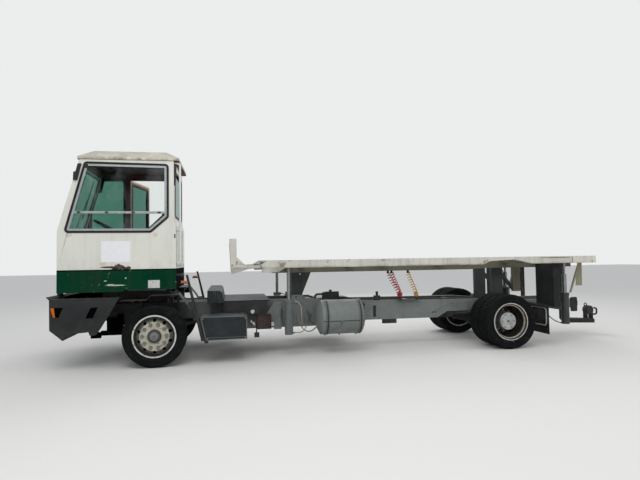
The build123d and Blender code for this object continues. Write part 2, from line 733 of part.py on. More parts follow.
def make_coupling():
    """A dropped arm under the tail that carries the trailer coupling: a round head with a hook."""
    x0 = TAIL_END + FIT
    low, high = DRAWBAR_Z
    rear = COUPLING_HEAD_X + 80
    arm = side_plate([
        (x0, 680), (x0 + 50, 680), (x0 + 50, high + 60), (x0 + 100, high + 18), (rear, high - 14),
        (rear, low), (x0 + 70, low + 22), (x0, low + 90),
    ], -75, 75)
    x, z = COUPLING_HEAD_X, COUPLING_Z
    head = chamfer(rod((x, -62, z), (x, 62, z), COUPLING_HEAD_R).edges().filter_by(GeomType.CIRCLE), 12)
    for leg_x in (x - 72, x + 44):
        head += block(leg_x, leg_x + 28, -50, 50, high - 22, z)
    ring = Pos(x - 53, 0, z + 102) * Rot(90, 0, 0) * Torus(27, 9)
    end = COUPLING_END - HOOK_R
    hook = tube_path([(x + 60, 0, z - 93), (end, 0, z - 93), (end, 0, z + 14), (end - 56, 0, z + 34)], [38, 22], HOOK_R)
    return [arm + head + ring + hook]


# Cab

def cab_side_outline(low):
    return [
        (CAB_FRONT, low), (CAB_FRONT, CAB_KNEE_Z), (CAB_TOP_FRONT, CAB_TOP), (CAB_REAR_UPPER, CAB_TOP),
        (CAB_REAR_UPPER, CAB_WAIST_Z + 60), (CAB_REAR, CAB_WAIST_Z - 40), (CAB_REAR, low),
    ]


LEFT_WINDOW = [(-938, 2925), (195, 2912), (195, 2145), (-48, 1928), (-1205, 1928)]
RIGHT_WINDOW = [(-1050, 2880), (-660, 2880), (-660, 2000), (-1190, 2000), (-1190, 2330)]
LEFT_CORNER = 45
RIGHT_CORNER = 60
DOORWAY = (DOOR_HINGE_X + 12, DOOR_HINGE_X + DOOR_W - 34)


def window_cut(points, y0, y1, radius):
    return side_plate(points, y0 - 1, y1 + 1, radius)


def pane(points, y0, radius):
    """Glass that fits its hole with a small gap all round."""
    face = offset(side_face(points, radius), -FIT)
    return extrude(Plane.XZ.offset(-y0 - GLASS) * face, GLASS)


def make_cab_base():
    """The green tub: floor, and four walls up to the belt line, with ears for its pivots."""
    tub = side_plate([
        (CAB_FRONT, CAB_FLOOR), (CAB_FRONT, BELT_Z - FIT), (CAB_REAR, BELT_Z - FIT), (CAB_REAR, CAB_FLOOR_REAR),
        (CAB_STEP_X + 25, CAB_FLOOR_REAR), (CAB_STEP_X, CAB_FLOOR),
    ], CAB_LEFT, CAB_RIGHT)
    tub -= block(CAB_FRONT + CAB_WALL, CAB_REAR - CAB_WALL, CAB_LEFT + CAB_WALL, CAB_RIGHT - CAB_WALL,
                 CAB_FLOOR_REAR + 24, BELT_Z + 1)
    tub -= block(*DOORWAY, CAB_RIGHT - CAB_WALL - 1, CAB_RIGHT + 1, DOOR_BOTTOM + 10, BELT_Z + 1)
    for y in MOUNT_Y:
        y0, y1 = y - MOUNT_T - EAR_GAP, y - EAR_GAP
        ear = rod((CAB_PIVOT_X, y0, CAB_PIVOT_Z), (CAB_PIVOT_X, y1, CAB_PIVOT_Z), PIVOT_R + 13)
        ear += side_plate([(CAB_PIVOT_X - 20, CAB_PIVOT_Z + 12), (CAB_FRONT + 2, CAB_FLOOR + 30), (CAB_FRONT + 60, CAB_FLOOR + 30),
                           (CAB_FRONT + 60, CAB_FLOOR), (CAB_PIVOT_X + 24, CAB_PIVOT_Z - 8)], y0, y1)
        ear -= rod((CAB_PIVOT_X, y0 - 1, CAB_PIVOT_Z), (CAB_PIVOT_X, y1 + 1, CAB_PIVOT_Z), PIVOT_R + BORE_FIT)
        tub += ear
    return [tub + hinge_seat(LOW_HINGE_Z)]


def make_cab_left():
    panel = side_plate(cab_side_outline(BELT_Z), CAB_LEFT, CAB_LEFT + CAB_WALL)
    return [panel - window_cut(LEFT_WINDOW, CAB_LEFT, CAB_LEFT + CAB_WALL, LEFT_CORNER)]


def make_cab_right():
    panel = side_plate(cab_side_outline(BELT_Z), CAB_RIGHT - CAB_WALL, CAB_RIGHT)
    panel -= window_cut(RIGHT_WINDOW, CAB_RIGHT - CAB_WALL, CAB_RIGHT, RIGHT_CORNER)
    panel -= block(*DOORWAY, CAB_RIGHT - CAB_WALL - 1, CAB_RIGHT + 1, BELT_Z - 1, DOOR_TOP - 10)
    return [panel + hinge_seat(HIGH_HINGE_Z)]


SCREEN_SIDE = 70           # frame beside the windscreen
SCREEN_LOW = 40            # frame below and above the windscreen, along the slope
SCREEN_HIGH = 110


def screen_plane(inset):
    """The plane of the windscreen, set in from its outer face."""
    run = Vector(CAB_TOP_FRONT - CAB_FRONT, 0, CAB_TOP - CAB_KNEE_Z)
    outward = Vector(-run.Z, 0, run.X).normalized()
    foot = Vector(CAB_FRONT, (CAB_LEFT + CAB_RIGHT) / 2, CAB_KNEE_Z)
    middle = foot + run.normalized() * (SCREEN_LOW + (run.length - SCREEN_HIGH + SCREEN_LOW) / 2 - SCREEN_LOW / 2)
    return Plane(origin=middle - outward * inset, x_dir=(0, -1, 0), z_dir=outward), run.length


def screen_size():
    length = screen_plane(0)[1]
    return CAB_RIGHT - CAB_LEFT - 2 * CAB_WALL - 2 * SCREEN_SIDE, length - SCREEN_LOW - SCREEN_HIGH


def cab_ends():
    return CAB_LEFT + CAB_WALL + FIT, CAB_RIGHT - CAB_WALL - FIT


def make_cab_front():
    """The windscreen frame: upright below the knee, leaning back above it."""
    wall = [
        (CAB_FRONT, BELT_Z), (CAB_FRONT, CAB_KNEE_Z), (CAB_TOP_FRONT, CAB_TOP),
        (CAB_TOP_FRONT + CAB_WALL, CAB_TOP), (CAB_FRONT + CAB_WALL, CAB_KNEE_Z), (CAB_FRONT + CAB_WALL, BELT_Z),
    ]
    plane = screen_plane(-20)[0]
    width, height = screen_size()
    hole = extrude(plane * RectangleRounded(width, height, 70), -120)
    return [side_plate(wall, *cab_ends()) - hole]


REAR_WINDOW = (CAB_WAIST_Z + 100, CAB_TOP - 120, 120)     # sill, head, frame beside the glass


def rear_window_face(shrink):
    sill, head, side = REAR_WINDOW
    y0, y1 = cab_ends()
    place = Pos((y0 + y1) / 2, (sill + head) / 2)
    return place * RectangleRounded(y1 - y0 - 2 * (side + shrink), head - sill - 2 * shrink, 70 - shrink)


def make_cab_rear():
    wall = [
        (CAB_REAR - CAB_WALL, BELT_Z), (CAB_REAR - CAB_WALL, CAB_WAIST_Z - 40),
        (CAB_REAR_UPPER - CAB_WALL, CAB_WAIST_Z + 60), (CAB_REAR_UPPER - CAB_WALL, CAB_TOP),
        (CAB_REAR_UPPER, CAB_TOP), (CAB_REAR_UPPER, CAB_WAIST_Z + 60), (CAB_REAR, CAB_WAIST_Z - 40), (CAB_REAR, BELT_Z),
    ]
    hole = extrude(Plane.YZ.offset(CAB_REAR_UPPER - 80) * rear_window_face(0), 160)
    return [side_plate(wall, *cab_ends()) - hole]


ROOF_EDGE = 42
ROOF_CROWN = 150
ROOF_INSET = 170


def make_roof():
    """The roof cap: a rounded edge that rises into a shallow raised panel."""
    x0, x1 = CAB_TOP_FRONT - 34, CAB_REAR_UPPER + 72
    y0, y1 = CAB_LEFT - 14, CAB_RIGHT + 14
    middle = Pos((x0 + x1) / 2, (y0 + y1) / 2)
    z = CAB_TOP + FIT
    edge = extrude(Plane.XY.offset(z) * middle * RectangleRounded(x1 - x0, y1 - y0, 50), ROOF_EDGE)
    low = Plane.XY.offset(z + ROOF_EDGE) * middle * RectangleRounded(x1 - x0, y1 - y0, 50)
    high = Plane.XY.offset(z + ROOF_CROWN) * middle * RectangleRounded(x1 - x0 - 2 * ROOF_INSET, y1 - y0 - 2 * ROOF_INSET, 50)
    return [edge + loft([low, high])]


def make_cab_windows():
    plane = screen_plane(14 + GLASS)[0]
    width, height = screen_size()
    screen = extrude(plane * RectangleRounded(width - 2 * FIT, height - 2 * FIT, 70 - FIT), GLASS)
    rear = extrude(Plane.YZ.offset(CAB_REAR_UPPER - 20) * rear_window_face(FIT), GLASS)
    return [
        pane(LEFT_WINDOW, CAB_LEFT + 12, LEFT_CORNER),
        pane(RIGHT_WINDOW, CAB_RIGHT - 12 - GLASS, RIGHT_CORNER),
        screen,
        rear,
    ]


SEAT_TOP = 1540
DASH_X = (CAB_FRONT + CAB_WALL + FIT, -1000)


def make_interior():
    """The driver's seat, and the dashboard with its steering column and wheel."""
    floor = CAB_FLOOR_REAR + 24 + FIT
    cy = (CAB_LEFT + CAB_RIGHT) / 2
    seat = block(-300, 100, cy - 170, cy + 170, floor, 1400)
    seat += side_plate([(-360, 1400), (-380, SEAT_TOP), (120, SEAT_TOP - 30), (120, 1400)], cy - 250, cy + 250, 20)
    seat += side_plate([(40, 1420), (140, 1420), (222, 2230), (150, 2250)], cy - 240, cy + 240, 20)
    x0, x1 = DASH_X
    dash = side_plate([(x0, floor), (x0, 1830), (x0 + 140, 1880), (x1 + 60, 1760), (x1 + 40, 1600), (x1 - 80, 1500),
                       (x1 - 60, floor)], cy - 560, cy + 560)
    dash += rod((x1, cy, 1660), (x1 + 222, cy, 2042), 32)
    ring = Pos(x1 + 222, cy, 2042) * Rot(0, 30, 0) * Torus(215, 15)
    spokes = Pos(x1 + 222, cy, 2042) * Rot(0, 30, 0) * (Box(410, 40, 12) + Box(40, 410, 12))
    return [seat, dash + ring + spokes]


MIRROR_BRACKET = [(-1024, 2897), (-977, 2898), (-1031, 2664), (-1084, 2664), (-1080, 2778), (-1050, 2789)]
MIRROR_BRACKET_T = 26


def make_mirror_brackets():
    """A folded bracket on each front pillar."""
    left = side_plate(MIRROR_BRACKET, CAB_LEFT - FIT - MIRROR_BRACKET_T, CAB_LEFT - FIT)
    right = side_plate(MIRROR_BRACKET, CAB_RIGHT + FIT, CAB_RIGHT + FIT + MIRROR_BRACKET_T)
    return [left, right]


RAIL_TUBE_R = 15


def make_handrails():
    """Two white tubes down the cab's rear left corner."""
    y = CAB_LEFT + 45
    wall, upper = CAB_REAR + FIT, CAB_REAR_UPPER + FIT
    x1, x2 = wall + 55, wall + 90
    first = tube_path([(upper, y, 2935), (x1, y, 2935), (x1, y, 1480), (wall, y, 1480)], 35, RAIL_TUBE_R)
    y += 60
    second = tube_path([(wall, y, 1960), (x2, y, 1960), (x2, y, 1450), (wall, y, 1450)], 40, RAIL_TUBE_R)
    return [first, second]


# Door

DOOR_SILL = 1960
DOOR_CLEAR = 6             # between the cab's wall and the closed door
HINGE_Y = CAB_RIGHT + 20
HINGE_R = 13
HINGE_PIN_R = 6
HINGE_H = 40               # height of each hinge's lower half, and of its upper half
LOW_HINGE_Z = 1290
HIGH_HINGE_Z = 2640


def hinge_seat(z):
    """The lower half of a door hinge, with its pin, on the cab's wall."""
    x = DOOR_HINGE_X
    half = rod((x, HINGE_Y, z - HINGE_H), (x, HINGE_Y, z - FIT), HINGE_R)
    half += block(x - 10, x + 10, CAB_RIGHT - 1, HINGE_Y, z - HINGE_H, z - FIT)
    return half + rod((x, HINGE_Y, z - HINGE_H), (x, HINGE_Y, z + HINGE_H), HINGE_PIN_R)


def hinge_notch(z):
    """The space in the door's edge that clears the lower half."""
    x = DOOR_HINGE_X
    return block(x - 1, x + 2 * HINGE_R, HINGE_Y - 40, HINGE_Y + 40, z - HINGE_H - 6, z)


def hinge_eye(z):
    """The upper half, on the door, and the bore for its pin."""
    x = DOOR_HINGE_X
    return (rod((x, HINGE_Y, z), (x, HINGE_Y, z + HINGE_H), HINGE_R),
            rod((x, HINGE_Y, z - 1), (x, HINGE_Y, z + HINGE_H + 1), HINGE_PIN_R + BORE_FIT))


def closed_door():
    """The door and its glass in the closed place."""
    x0, x1 = DOOR_HINGE_X, DOOR_HINGE_X + DOOR_W
    y0 = CAB_RIGHT + DOOR_CLEAR
    y1 = y0 + DOOR_T
    hole_x0, hole_x1, hole_top = x0 + DOOR_STILE, x1 - DOOR_STILE, DOOR_TOP - DOOR_STILE
    frame = side_plate([(x0, DOOR_BOTTOM), (x0, DOOR_TOP), (x1, DOOR_TOP), (x1, DOOR_BOTTOM)], y0, y1)
    hole = [(hole_x0, DOOR_SILL), (hole_x0, hole_top), (hole_x1, hole_top), (hole_x1, DOOR_SILL)]
    glass = pane(hole, y0 + 16, 30)
    frame -= window_cut(hole, y0, y1, 30)
    for z in (LOW_HINGE_Z, HIGH_HINGE_Z):
        eye, bore = hinge_eye(z)
        frame = frame - hinge_notch(z) + eye - bore
    return frame, glass


def swung(solid):
    """Opened to the place that it stands in."""
    return solid.rotate(Axis((DOOR_HINGE_X, HINGE_Y, 0), (0, 0, 1)), DOOR_OPEN)


# Lift frame

def make_lift_rails():
    z1, z0 = LIFT_TOP, LIFT_TOP - LIFT_RAIL_H
    nose = LIFT_TOP - LIFT_NOSE_H
    outline = [
        (LIFT_FRONT, z1 - 60), (LIFT_FRONT + 110, z1), (LIFT_REAR, z1), (LIFT_REAR, z0),
        (ARCH_REAR, z0), (ARCH_REAR - 330, ARCH_TOP), (ARCH_FRONT + 120, ARCH_TOP - 20), (ARCH_FRONT, z0),
        (LIFT_NOSE_END + 110, z0), (LIFT_NOSE_END, nose), (LIFT_FRONT + 20, nose),
    ]
    return both(side_plate(outline, -LIFT_SIDE, -LIFT_SIDE + LIFT_RAIL_W))


BEAM_TOP = LIFT_TOP - 30
BEAM_TAIL_H = 160


def make_main_beams():
    """Two deep beams that straddle the chassis rails, shallower over the axle."""
    low = LIFT_TOP - MAIN_BEAM_H
    beam = side_plate([
        (MAIN_BEAM_FRONT, BEAM_TOP), (LIFT_REAR, BEAM_TOP), (LIFT_REAR, BEAM_TOP - BEAM_TAIL_H),
        (MAIN_BEAM_REAR + 250, BEAM_TOP - BEAM_TAIL_H), (MAIN_BEAM_REAR, low), (MAIN_BEAM_FRONT + 120, low),
        (MAIN_BEAM_FRONT, low + 60),
    ], -MAIN_BEAM_Y - MAIN_BEAM_W, -MAIN_BEAM_Y)
    return both(beam)


CROSS_TOP = LIFT_TOP - 36
CROSS_H = 74
CROSS_X = [CYL_FRONT_X, 2200, 2980, 3560, 4560, sum(COLUMN_REAR) / 2, CYL_REAR_X, LIFT_REAR - 60]


def make_lift_cross():
    """Cross members between the main beams and out to the side rails, and the nose beam."""
    outer, inner = LIFT_SIDE - LIFT_RAIL_W, MAIN_BEAM_Y + MAIN_BEAM_W
    z1, z0 = CROSS_TOP, CROSS_TOP - CROSS_H
    solids = [block(LIFT_FRONT + 10, MAIN_BEAM_FRONT - FIT, -outer + FIT, outer - FIT, z0, z1 - 30)]
    for x in CROSS_X:
        half = CROSS_W / 2
        solids.append(block(x - half, x + half, -MAIN_BEAM_Y + FIT, MAIN_BEAM_Y - FIT, z0, z1))
        solids += both(block(x - half, x + half, -outer + FIT, -inner - FIT, z0, z1))
    return solids


STOP_X = (1056, 1165)
STOP_Y = (-LIFT_SIDE + 205, -LIFT_SIDE + 315)
STOP_TOP = 1835
STOP_BASE = 1300


def make_stops():
    """Two upright stops on arms that reach forward from the nose beam."""
    x0, x1 = STOP_X
    end = LIFT_FRONT + 10 - FIT
    outline = [
        (x0, STOP_TOP), (x1, STOP_TOP), (x1, 1560), (1300, 1430), (1330, 1425), (end, 1432), (end, 1385),
        (1340, 1372), (1300, STOP_BASE + 60), (x0 + 30, STOP_BASE),
    ]
    return both(side_plate(outline, *STOP_Y))


POST_X = (COLUMN_REAR[1] + 210, COLUMN_REAR[1] + 350)
POST_LOW = 872


def make_columns():
    """Guide columns that slide between the chassis rails: gusseted in front, braced to a post at the rear."""
    head = CROSS_TOP - CROSS_H - FIT
    y0, y1 = -COLUMN_Y, -COLUMN_Y + COLUMN_T
    x0, x1 = COLUMN_FRONT
    front = side_plate([(x0, COLUMN_FOOT), (x0, head), (x1 + 190, head), (x1, 930), (x1, COLUMN_FOOT)], y0, y1)
    x0, x1 = COLUMN_REAR
    rear = block(x0, x1, y0, y1, COLUMN_FOOT, head) + block(*POST_X, y0, y1, POST_LOW, head)
    rear += side_plate([(x1 - 10, 1220), (x1 - 10, 1150), (POST_X[0] + 20, POST_LOW), (POST_X[0] + 90, POST_LOW)], y0, y1)
    return both(front) + both(rear)


def make_rods():
    """The cylinders' rods: plain in front, with a thicker stage at the rear."""
    solids = []
    top = CROSS_TOP - CROSS_H - FIT
    solids += both(rod((CYL_FRONT_X, -CYL_Y, ROD_FOOT), (CYL_FRONT_X, -CYL_Y, top), ROD_R))
    rear = rod((CYL_REAR_X, -CYL_Y, ROD_FOOT), (CYL_REAR_X, -CYL_Y, ROD_STAGE_TOP), ROD_STAGE_R)
    rear += rod((CYL_REAR_X, -CYL_Y, ROD_STAGE_TOP), (CYL_REAR_X, -CYL_Y, top), ROD_R - 6)
    return solids + both(rear)


PANEL_X = WHEELBASE + 875
PANEL_Y = (-LIFT_SIDE + 125, -600)
PANEL_LOW = 650
PANEL_FLANGE = 120         # depth of the flange at the panel's outer edge
STRUT_FOOT = CYL_REAR_X + 77
STRUT_Y = (-CYL_Y - 40, -CYL_Y - 10)


def make_rear_panels():
    """Black splash panels that hang from the frame behind the rear wheels, and slanted struts with gussets."""
    z0, z1 = CROSS_TOP - CROSS_H + 4, CROSS_TOP - 4
    y0, y1 = PANEL_Y
    x0, x1 = PANEL_X + 12, PANEL_X + 52
    panel = block(PANEL_X, x0, y0, y1, PANEL_LOW, z1)
    panel += block(x0, x1, y0, y1, z0, z1)
    panel += block(x0, PANEL_X + PANEL_FLANGE, y0, y0 + 12, PANEL_LOW, z1)
    for y in (y0, y1 - 40):
        panel += block(x0, x1, y, y + 40, PANEL_LOW, z1)
        panel += block(x0, CYL_REAR_X - CROSS_W / 2 - FIT, y, y + 40, z0, z1)
    head = CROSS_TOP - CROSS_H - FIT
    foot, top = STRUT_FOOT, CROSS_X[-1] - CROSS_W / 2
    strut = side_plate([(foot, 868), (foot + 27, 868), (top + 22, head), (top - 14, head)], *STRUT_Y)
    gusset = side_plate([(top - 14, head), (top + 70, head), (top + 65, 985), (top - 58, 985)],
                        STRUT_Y[1] + 5, STRUT_Y[1] + 15)
    return both(panel) + both(strut) + both(gusset)


# Steering

def make_knuckle():
    """The left stub axle with its fork and its steering arm, which points straight back."""
    half = 34
    stub = rod((0, -KINGPIN_Y - 60, AXLE_Z), (0, -SIDE + 72, AXLE_Z), STUB_R)
    fork = block(-50, 50, -KINGPIN_Y - 78, -KINGPIN_Y - 54, AXLE_Z - 76, AXLE_Z + 76)
    for z0, z1 in ((AXLE_Z + half + FIT, AXLE_Z + 76), (AXLE_Z - 76, AXLE_Z - half - FIT)):
        fork += block(-40, 40, -KINGPIN_Y - 60, -KINGPIN_Y, z0, z1) + rod((0, -KINGPIN_Y, z0), (0, -KINGPIN_Y, z1), 44)
    pin_y = -KINGPIN_Y
    arm = floor_plate([(-30, -KINGPIN_Y - 66), (30, -KINGPIN_Y - 66), (ARM_X + 24, pin_y - 20), (ARM_X + 24, pin_y + 24),
                       (ARM_X - 24, pin_y + 24), (-30, -KINGPIN_Y + 30)], ARM_Z, AXLE_Z - 70)
    pin = rod((ARM_X, pin_y, ARM_Z - 2 * EYE_HALF - 6), (ARM_X, pin_y, ARM_Z), ROD_PIN_R)
    return stub + fork + arm + pin


EYE_HALF = 22              # half the height of the tie rod's eyes
PIN_PLAY = 0.5             # gap all round between a steering arm's pin and its eye


def make_tie_rod():
    """The bar between the two steering arms, with an eye at each end."""
    z = ARM_Z - EYE_HALF - FIT
    reach = KINGPIN_Y
    bar = rod((ARM_X, -reach + 20, z), (ARM_X, reach - 20, z), TIE_R)
    for y in (-reach, reach):
        bar += rod((ARM_X, y, z - EYE_HALF), (ARM_X, y, z + EYE_HALF), 30)
    for y in (-reach, reach):
        bar -= rod((ARM_X, y, z - EYE_HALF - 5), (ARM_X, y, z + EYE_HALF + 5), ROD_PIN_R + PIN_PLAY)
    return bar


# Wheels, modelled about the Y axis with their outer side towards +Y

def tyre():
    """A closed ring: beads between the rim's flanges, bowed walls, and a tread with sloped shoulders."""
    half = TYRE_W / 2
    seat = RIM_HALF - RIM_WALL - FIT
    bead, heel = BEAD_R + FIT, FLANGE_R + 2
    wall = bead + 80
    tread = half - 38
    edge = half - 14
    profile = Line((bead, -seat), (bead, seat)) + Line((bead, seat), (heel, seat))
    profile += ThreePointArc((heel, seat), (wall, half), (SHOULDER_R, edge))
    profile += Line((SHOULDER_R, edge), (TYRE_R, tread)) + Line((TYRE_R, tread), (TYRE_R, -tread))
    profile += Line((TYRE_R, -tread), (SHOULDER_R, -edge))
    profile += ThreePointArc((SHOULDER_R, -edge), (wall, -half), (heel, -seat))
    profile += Line((heel, -seat), (bead, -seat))
    return turned(make_face(profile))


def barrel(disc):
    """A rim barrel with its flanges, joined to a disc given as (radius, offset) points."""
    w = RIM_WALL
    profile = [
        (BEAD_R, -RIM_HALF + w), (FLANGE_R, -RIM_HALF + w), (FLANGE_R, -RIM_HALF), (BEAD_R - w, -RIM_HALF),
        (BEAD_R - w, RIM_HALF), (FLANGE_R, RIM_HALF), (FLANGE_R, RIM_HALF - w), (BEAD_R, RIM_HALF - w),
    ]
    return turned(make_face(Polyline(*profile, close=True))) + turned(make_face(Polyline(*disc, close=True)))


FRONT_FACE = 96            # outer face of the front disc, from the rim's middle
HUB_R = 104
HUB_IN = -58
DRUM_R = 205


def hand_holes(y0, y1):
    hole = rod((HAND_HOLE_CIRCLE_R, y0, 0), (HAND_HOLE_CIRCLE_R, y1, 0), HAND_HOLE_R)
    return [Rot(0, 360 * (i + 0.5) / STUD_COUNT, 0) * hole for i in range(STUD_COUNT)]


def front_rim():
    """A disc that stands out to the rim's edge, with its hub and brake drum behind it."""
    t = DISC_WALL
    face = FRONT_FACE
    edge = BEAD_R - RIM_WALL + 2
    disc = [(edge, 44), (edge, 44 - t), (262, 44 - t), (205, face - t), (0, face - t), (0, face), (208, face), (262, 44)]
    rim = barrel(disc)
    for hole in hand_holes(0, 110):
        rim -= hole
    hub = turned(make_face(Polyline(
        (STUB_R + BORE_FIT, HUB_IN), (HUB_R, HUB_IN), (HUB_R, face - t), (STUB_R + BORE_FIT, face - t), close=True)))
    drum = turned(make_face(Polyline(
        (HUB_R - 4, HUB_IN + 40), (HUB_R - 4, HUB_IN + 26), (DRUM_R - 14, HUB_IN + 26), (DRUM_R - 14, -108), (DRUM_R, -108),
        (DRUM_R, HUB_IN + 40), close=True)))
    cap = turned(make_face(Polyline((0, face), (HUB_R - 12, face), (HUB_R - 20, face + 30), (0, face + 34), close=True)))
    return rim + hub + drum + cap


COVER_R = 142
COVER_OUT = 105            # the hub cover's face, in from the tyre's outer face


def rear_rims():
    """The outer and the inner rim back to back, with the hub's cover and the brake drum."""
    t = DISC_WALL
    meet = DUAL_PITCH / 2
    edge = BEAD_R - RIM_WALL + 2
    disc = [(edge, -74), (edge, -74 - t), (262, -74 - t), (222, -meet), (0, -meet), (0, -meet + t), (218, -meet + t), (262, -74)]
    outer = barrel(disc)
    for hole in hand_holes(-150, 0):
        outer -= hole
    inner = Pos(0, -DUAL_PITCH, 0) * mirror(outer, about=Plane.XZ)
    face = TYRE_W / 2 - COVER_OUT
    cover = turned(make_face(Polyline((0, -meet + t), (COVER_R + 12, -meet + t), (COVER_R + 12, -meet + t + 30),
                                      (COVER_R, -meet + t + 30), (COVER_R, face - 8), (COVER_R - 8, face), (0, face), close=True)))
    drum_in = -DUAL_PITCH - 60
    drum = turned(make_face(Polyline(
        (REAR_AXLE_R + BORE_FIT, -meet - t), (REAR_AXLE_R + BORE_FIT, drum_in), (COVER_R, drum_in), (COVER_R, -meet - t - 60),
        (DRUM_R, -meet - t - 60), (DRUM_R, -meet - t), close=True)))
    return outer + inner + cover + drum


def place(solid, x, y, left):
    """Puts a wheel piece on its hub, with its outer side away from the centreline."""
    if left:
        solid = mirror(solid, about=Plane.XZ)
    return Pos(x, -y if left else y, AXLE_Z) * solid


# Air hoses between the chassis and the lift frame: x and y of the foot and of the head

HOSE_R = 34
HOSE_FOOT = 830
HOSE_HEAD = LIFT_TOP - MAIN_BEAM_H
HOSES = {
    "hose_red_front": (3935, -470, 3705, -530),
    "hose_red_rear": (3975, -385, 3800, -440),
    "hose_yellow": (4235, -470, 4062, -530),
}
GLAND_R = 20


def hose(x0, y0, x1, y1):
    """A curly hose as one fat tube: upright at both ends and slanted between them."""
    run = 70
    points = [(x0, y0, HOSE_FOOT), (x0, y0, HOSE_FOOT + run), (x1, y1, HOSE_HEAD - FIT - run), (x1, y1, HOSE_HEAD - FIT)]
    slant = Vector(*points[2]) - Vector(*points[1])
    turn = slant.get_angle(Vector(0, 0, 1))
    radius = 0.45 * run / tan(radians(turn / 2))
    print(f"hose radius {radius:.0f} run {run:.0f} slant {slant.length:.0f}")
    return tube_path(points, radius, HOSE_R)


TRAY_X = (3880, 4290)
TRAY_T = 6
VALVE_X = 3500
VALVE_Y = (-420, -340)
MANIFOLD_X = (2595, 2872)
MANIFOLD_TOP = RAIL_H_TOP + 98
LINE_R = 9                 # pipes along the rail's top


def make_hose_glands():
    """The hoses' tray and glands, and the valves, pipes and lug that the left rail carries."""
    tray_z = rail_z(TRAY_X[0])[0] + FIT
    tray = block(*TRAY_X, -520, -340, tray_z, tray_z + TRAY_T)
    for x0, y0, x1, y1 in HOSES.values():
        tray += rod((x0, y0, tray_z), (x0, y0, HOSE_FOOT - FIT), GLAND_R)
    y0, y1 = VALVE_Y
    mid = (y0 + y1) / 2
    valve_z = rail_z(VALVE_X)[0] + FIT
    valve = block(VALVE_X, VALVE_X + 100, y0, y1, valve_z, valve_z + 80)
    valve += rod((VALVE_X + 50, mid, valve_z + 70), (VALVE_X + 50, mid, valve_z + 150), 22)
    solids = [tray, valve]

    m0, m1 = MANIFOLD_X
    base = [(x, rail_z(x)[0] + FIT) for x in (m1, 2640, m0)]
    manifold = side_plate([(m0, MANIFOLD_TOP - 14), (m0 + 55, MANIFOLD_TOP), (m1, MANIFOLD_TOP)] + base, y0, y1)
    knob_x = (m0 + m1) / 2
    manifold += rod((knob_x, mid, MANIFOLD_TOP - 5), (knob_x, mid, MANIFOLD_TOP + 32), 24)
    low = [(x, rail_z(x)[0] + FIT) for x in (m1 - 1, m1 + 290)]
    manifold += side_plate([low[0], (m1 - 1, MANIFOLD_TOP - 82), (m1 + 120, MANIFOLD_TOP - 92),
                            (m1 + 290, low[1][1] + 40), low[1]], y0, mid + 10)
    pipe_x, pipe_z = m0 - 125, MANIFOLD_TOP - 38
    manifold += tube_path([(pipe_x, mid, rail_z(pipe_x)[0] + FIT), (pipe_x, mid, pipe_z), (m0 + 10, mid, pipe_z)], 45, 17)
    solids.append(manifold)

    for y in (y0 + LINE_R, mid):
        ends = [(x, y, rail_z(x)[0] + FIT + LINE_R) for x in (TRAY_X[1] + 10, WHEELBASE - 275)]
        solids.append(rod(*ends, LINE_R))
    lug_top = min(rail_z(3640)[1], rail_z(3880)[1]) - FIT
    solids.append(block(3640, 3880, -RAIL_Y + 5, -RAIL_Y + 75, 392, lug_top))
    return solids


# Oil hoses between the rails, the cylinders and the tank, as points of straight runs

OIL_R = 8
RAIL_SEAT = -RAIL_Y - FIT
FRONT_PORT = CYL_FRONT_X + CYL_R + PORT_OUT + FIT
REAR_PORT = CYL_REAR_X - CYL_R - PORT_OUT - FIT
PORT_Y = -CYL_Y + PORT_R
OIL_HOSES_BOTH_SIDES = [
    [(FRONT_PORT, PORT_Y, 372), (2140, PORT_Y, 372), (2206, -817, 385), (2254, -751, 436), (2297, -685, 495),
     (2333, -613, 550), (2368, -527, 600), (2368, RAIL_SEAT, 600)],
    [(FRONT_PORT + 2.5, PORT_Y, 863), (2110, -907, 842), (2156, -905, 775), (2160, -900, 680), (2164, -880, 585),
     (2180, -812, 505), (2212, -715, 470), (2245, -613, 480), (2282, -525, 520), (2282, RAIL_SEAT, 520)],
    [(6550, RAIL_SEAT, 605), (6550, -508, 605), (6541, -600, 580), (6534, -694, 532), (6540, -778, 470),
     (6566, -850, 412), (6612, -898, 370), (REAR_PORT - 3.2, -CYL_Y, 352)],
]
OIL_HOSES_TANK = [
    [(2146, RAIL_SEAT, 610), (2146, -514, 610), (2153, -588, 555), (2174, -636, 476), (2208, -664, 398),
     (2268, -690, 352), (2342, -700, 354), TANK_PORTS[0]],
    [(2326, RAIL_SEAT, 640), (2326, -514, 640), (2316, -598, 618), (2314, -668, 562), (2345, -712, 500),
     TANK_PORTS[1]],
]


def oil_hose(points):
    """A hose whose arcs are as large as its runs allow."""
    points = [Vector(*point) for point in points]
    runs = [b - a for a, b in zip(points, points[1:])]
    radii = []
    for before, after in zip(runs, runs[1:]):
        shorter = min(before.length, after.length)
        radii.append(0.45 * shorter / tan(radians(before.get_angle(after) / 2)))
    print("oil hose runs", [round(run.length) for run in runs], "radii", [round(radius) for radius in radii])
    return tube_path(points, radii, OIL_R)


def make_oil_hoses():
    solids = []
    for points in OIL_HOSES_BOTH_SIDES:
        solids += both(oil_hose(points))
    return solids + [oil_hose(points) for points in OIL_HOSES_TANK]


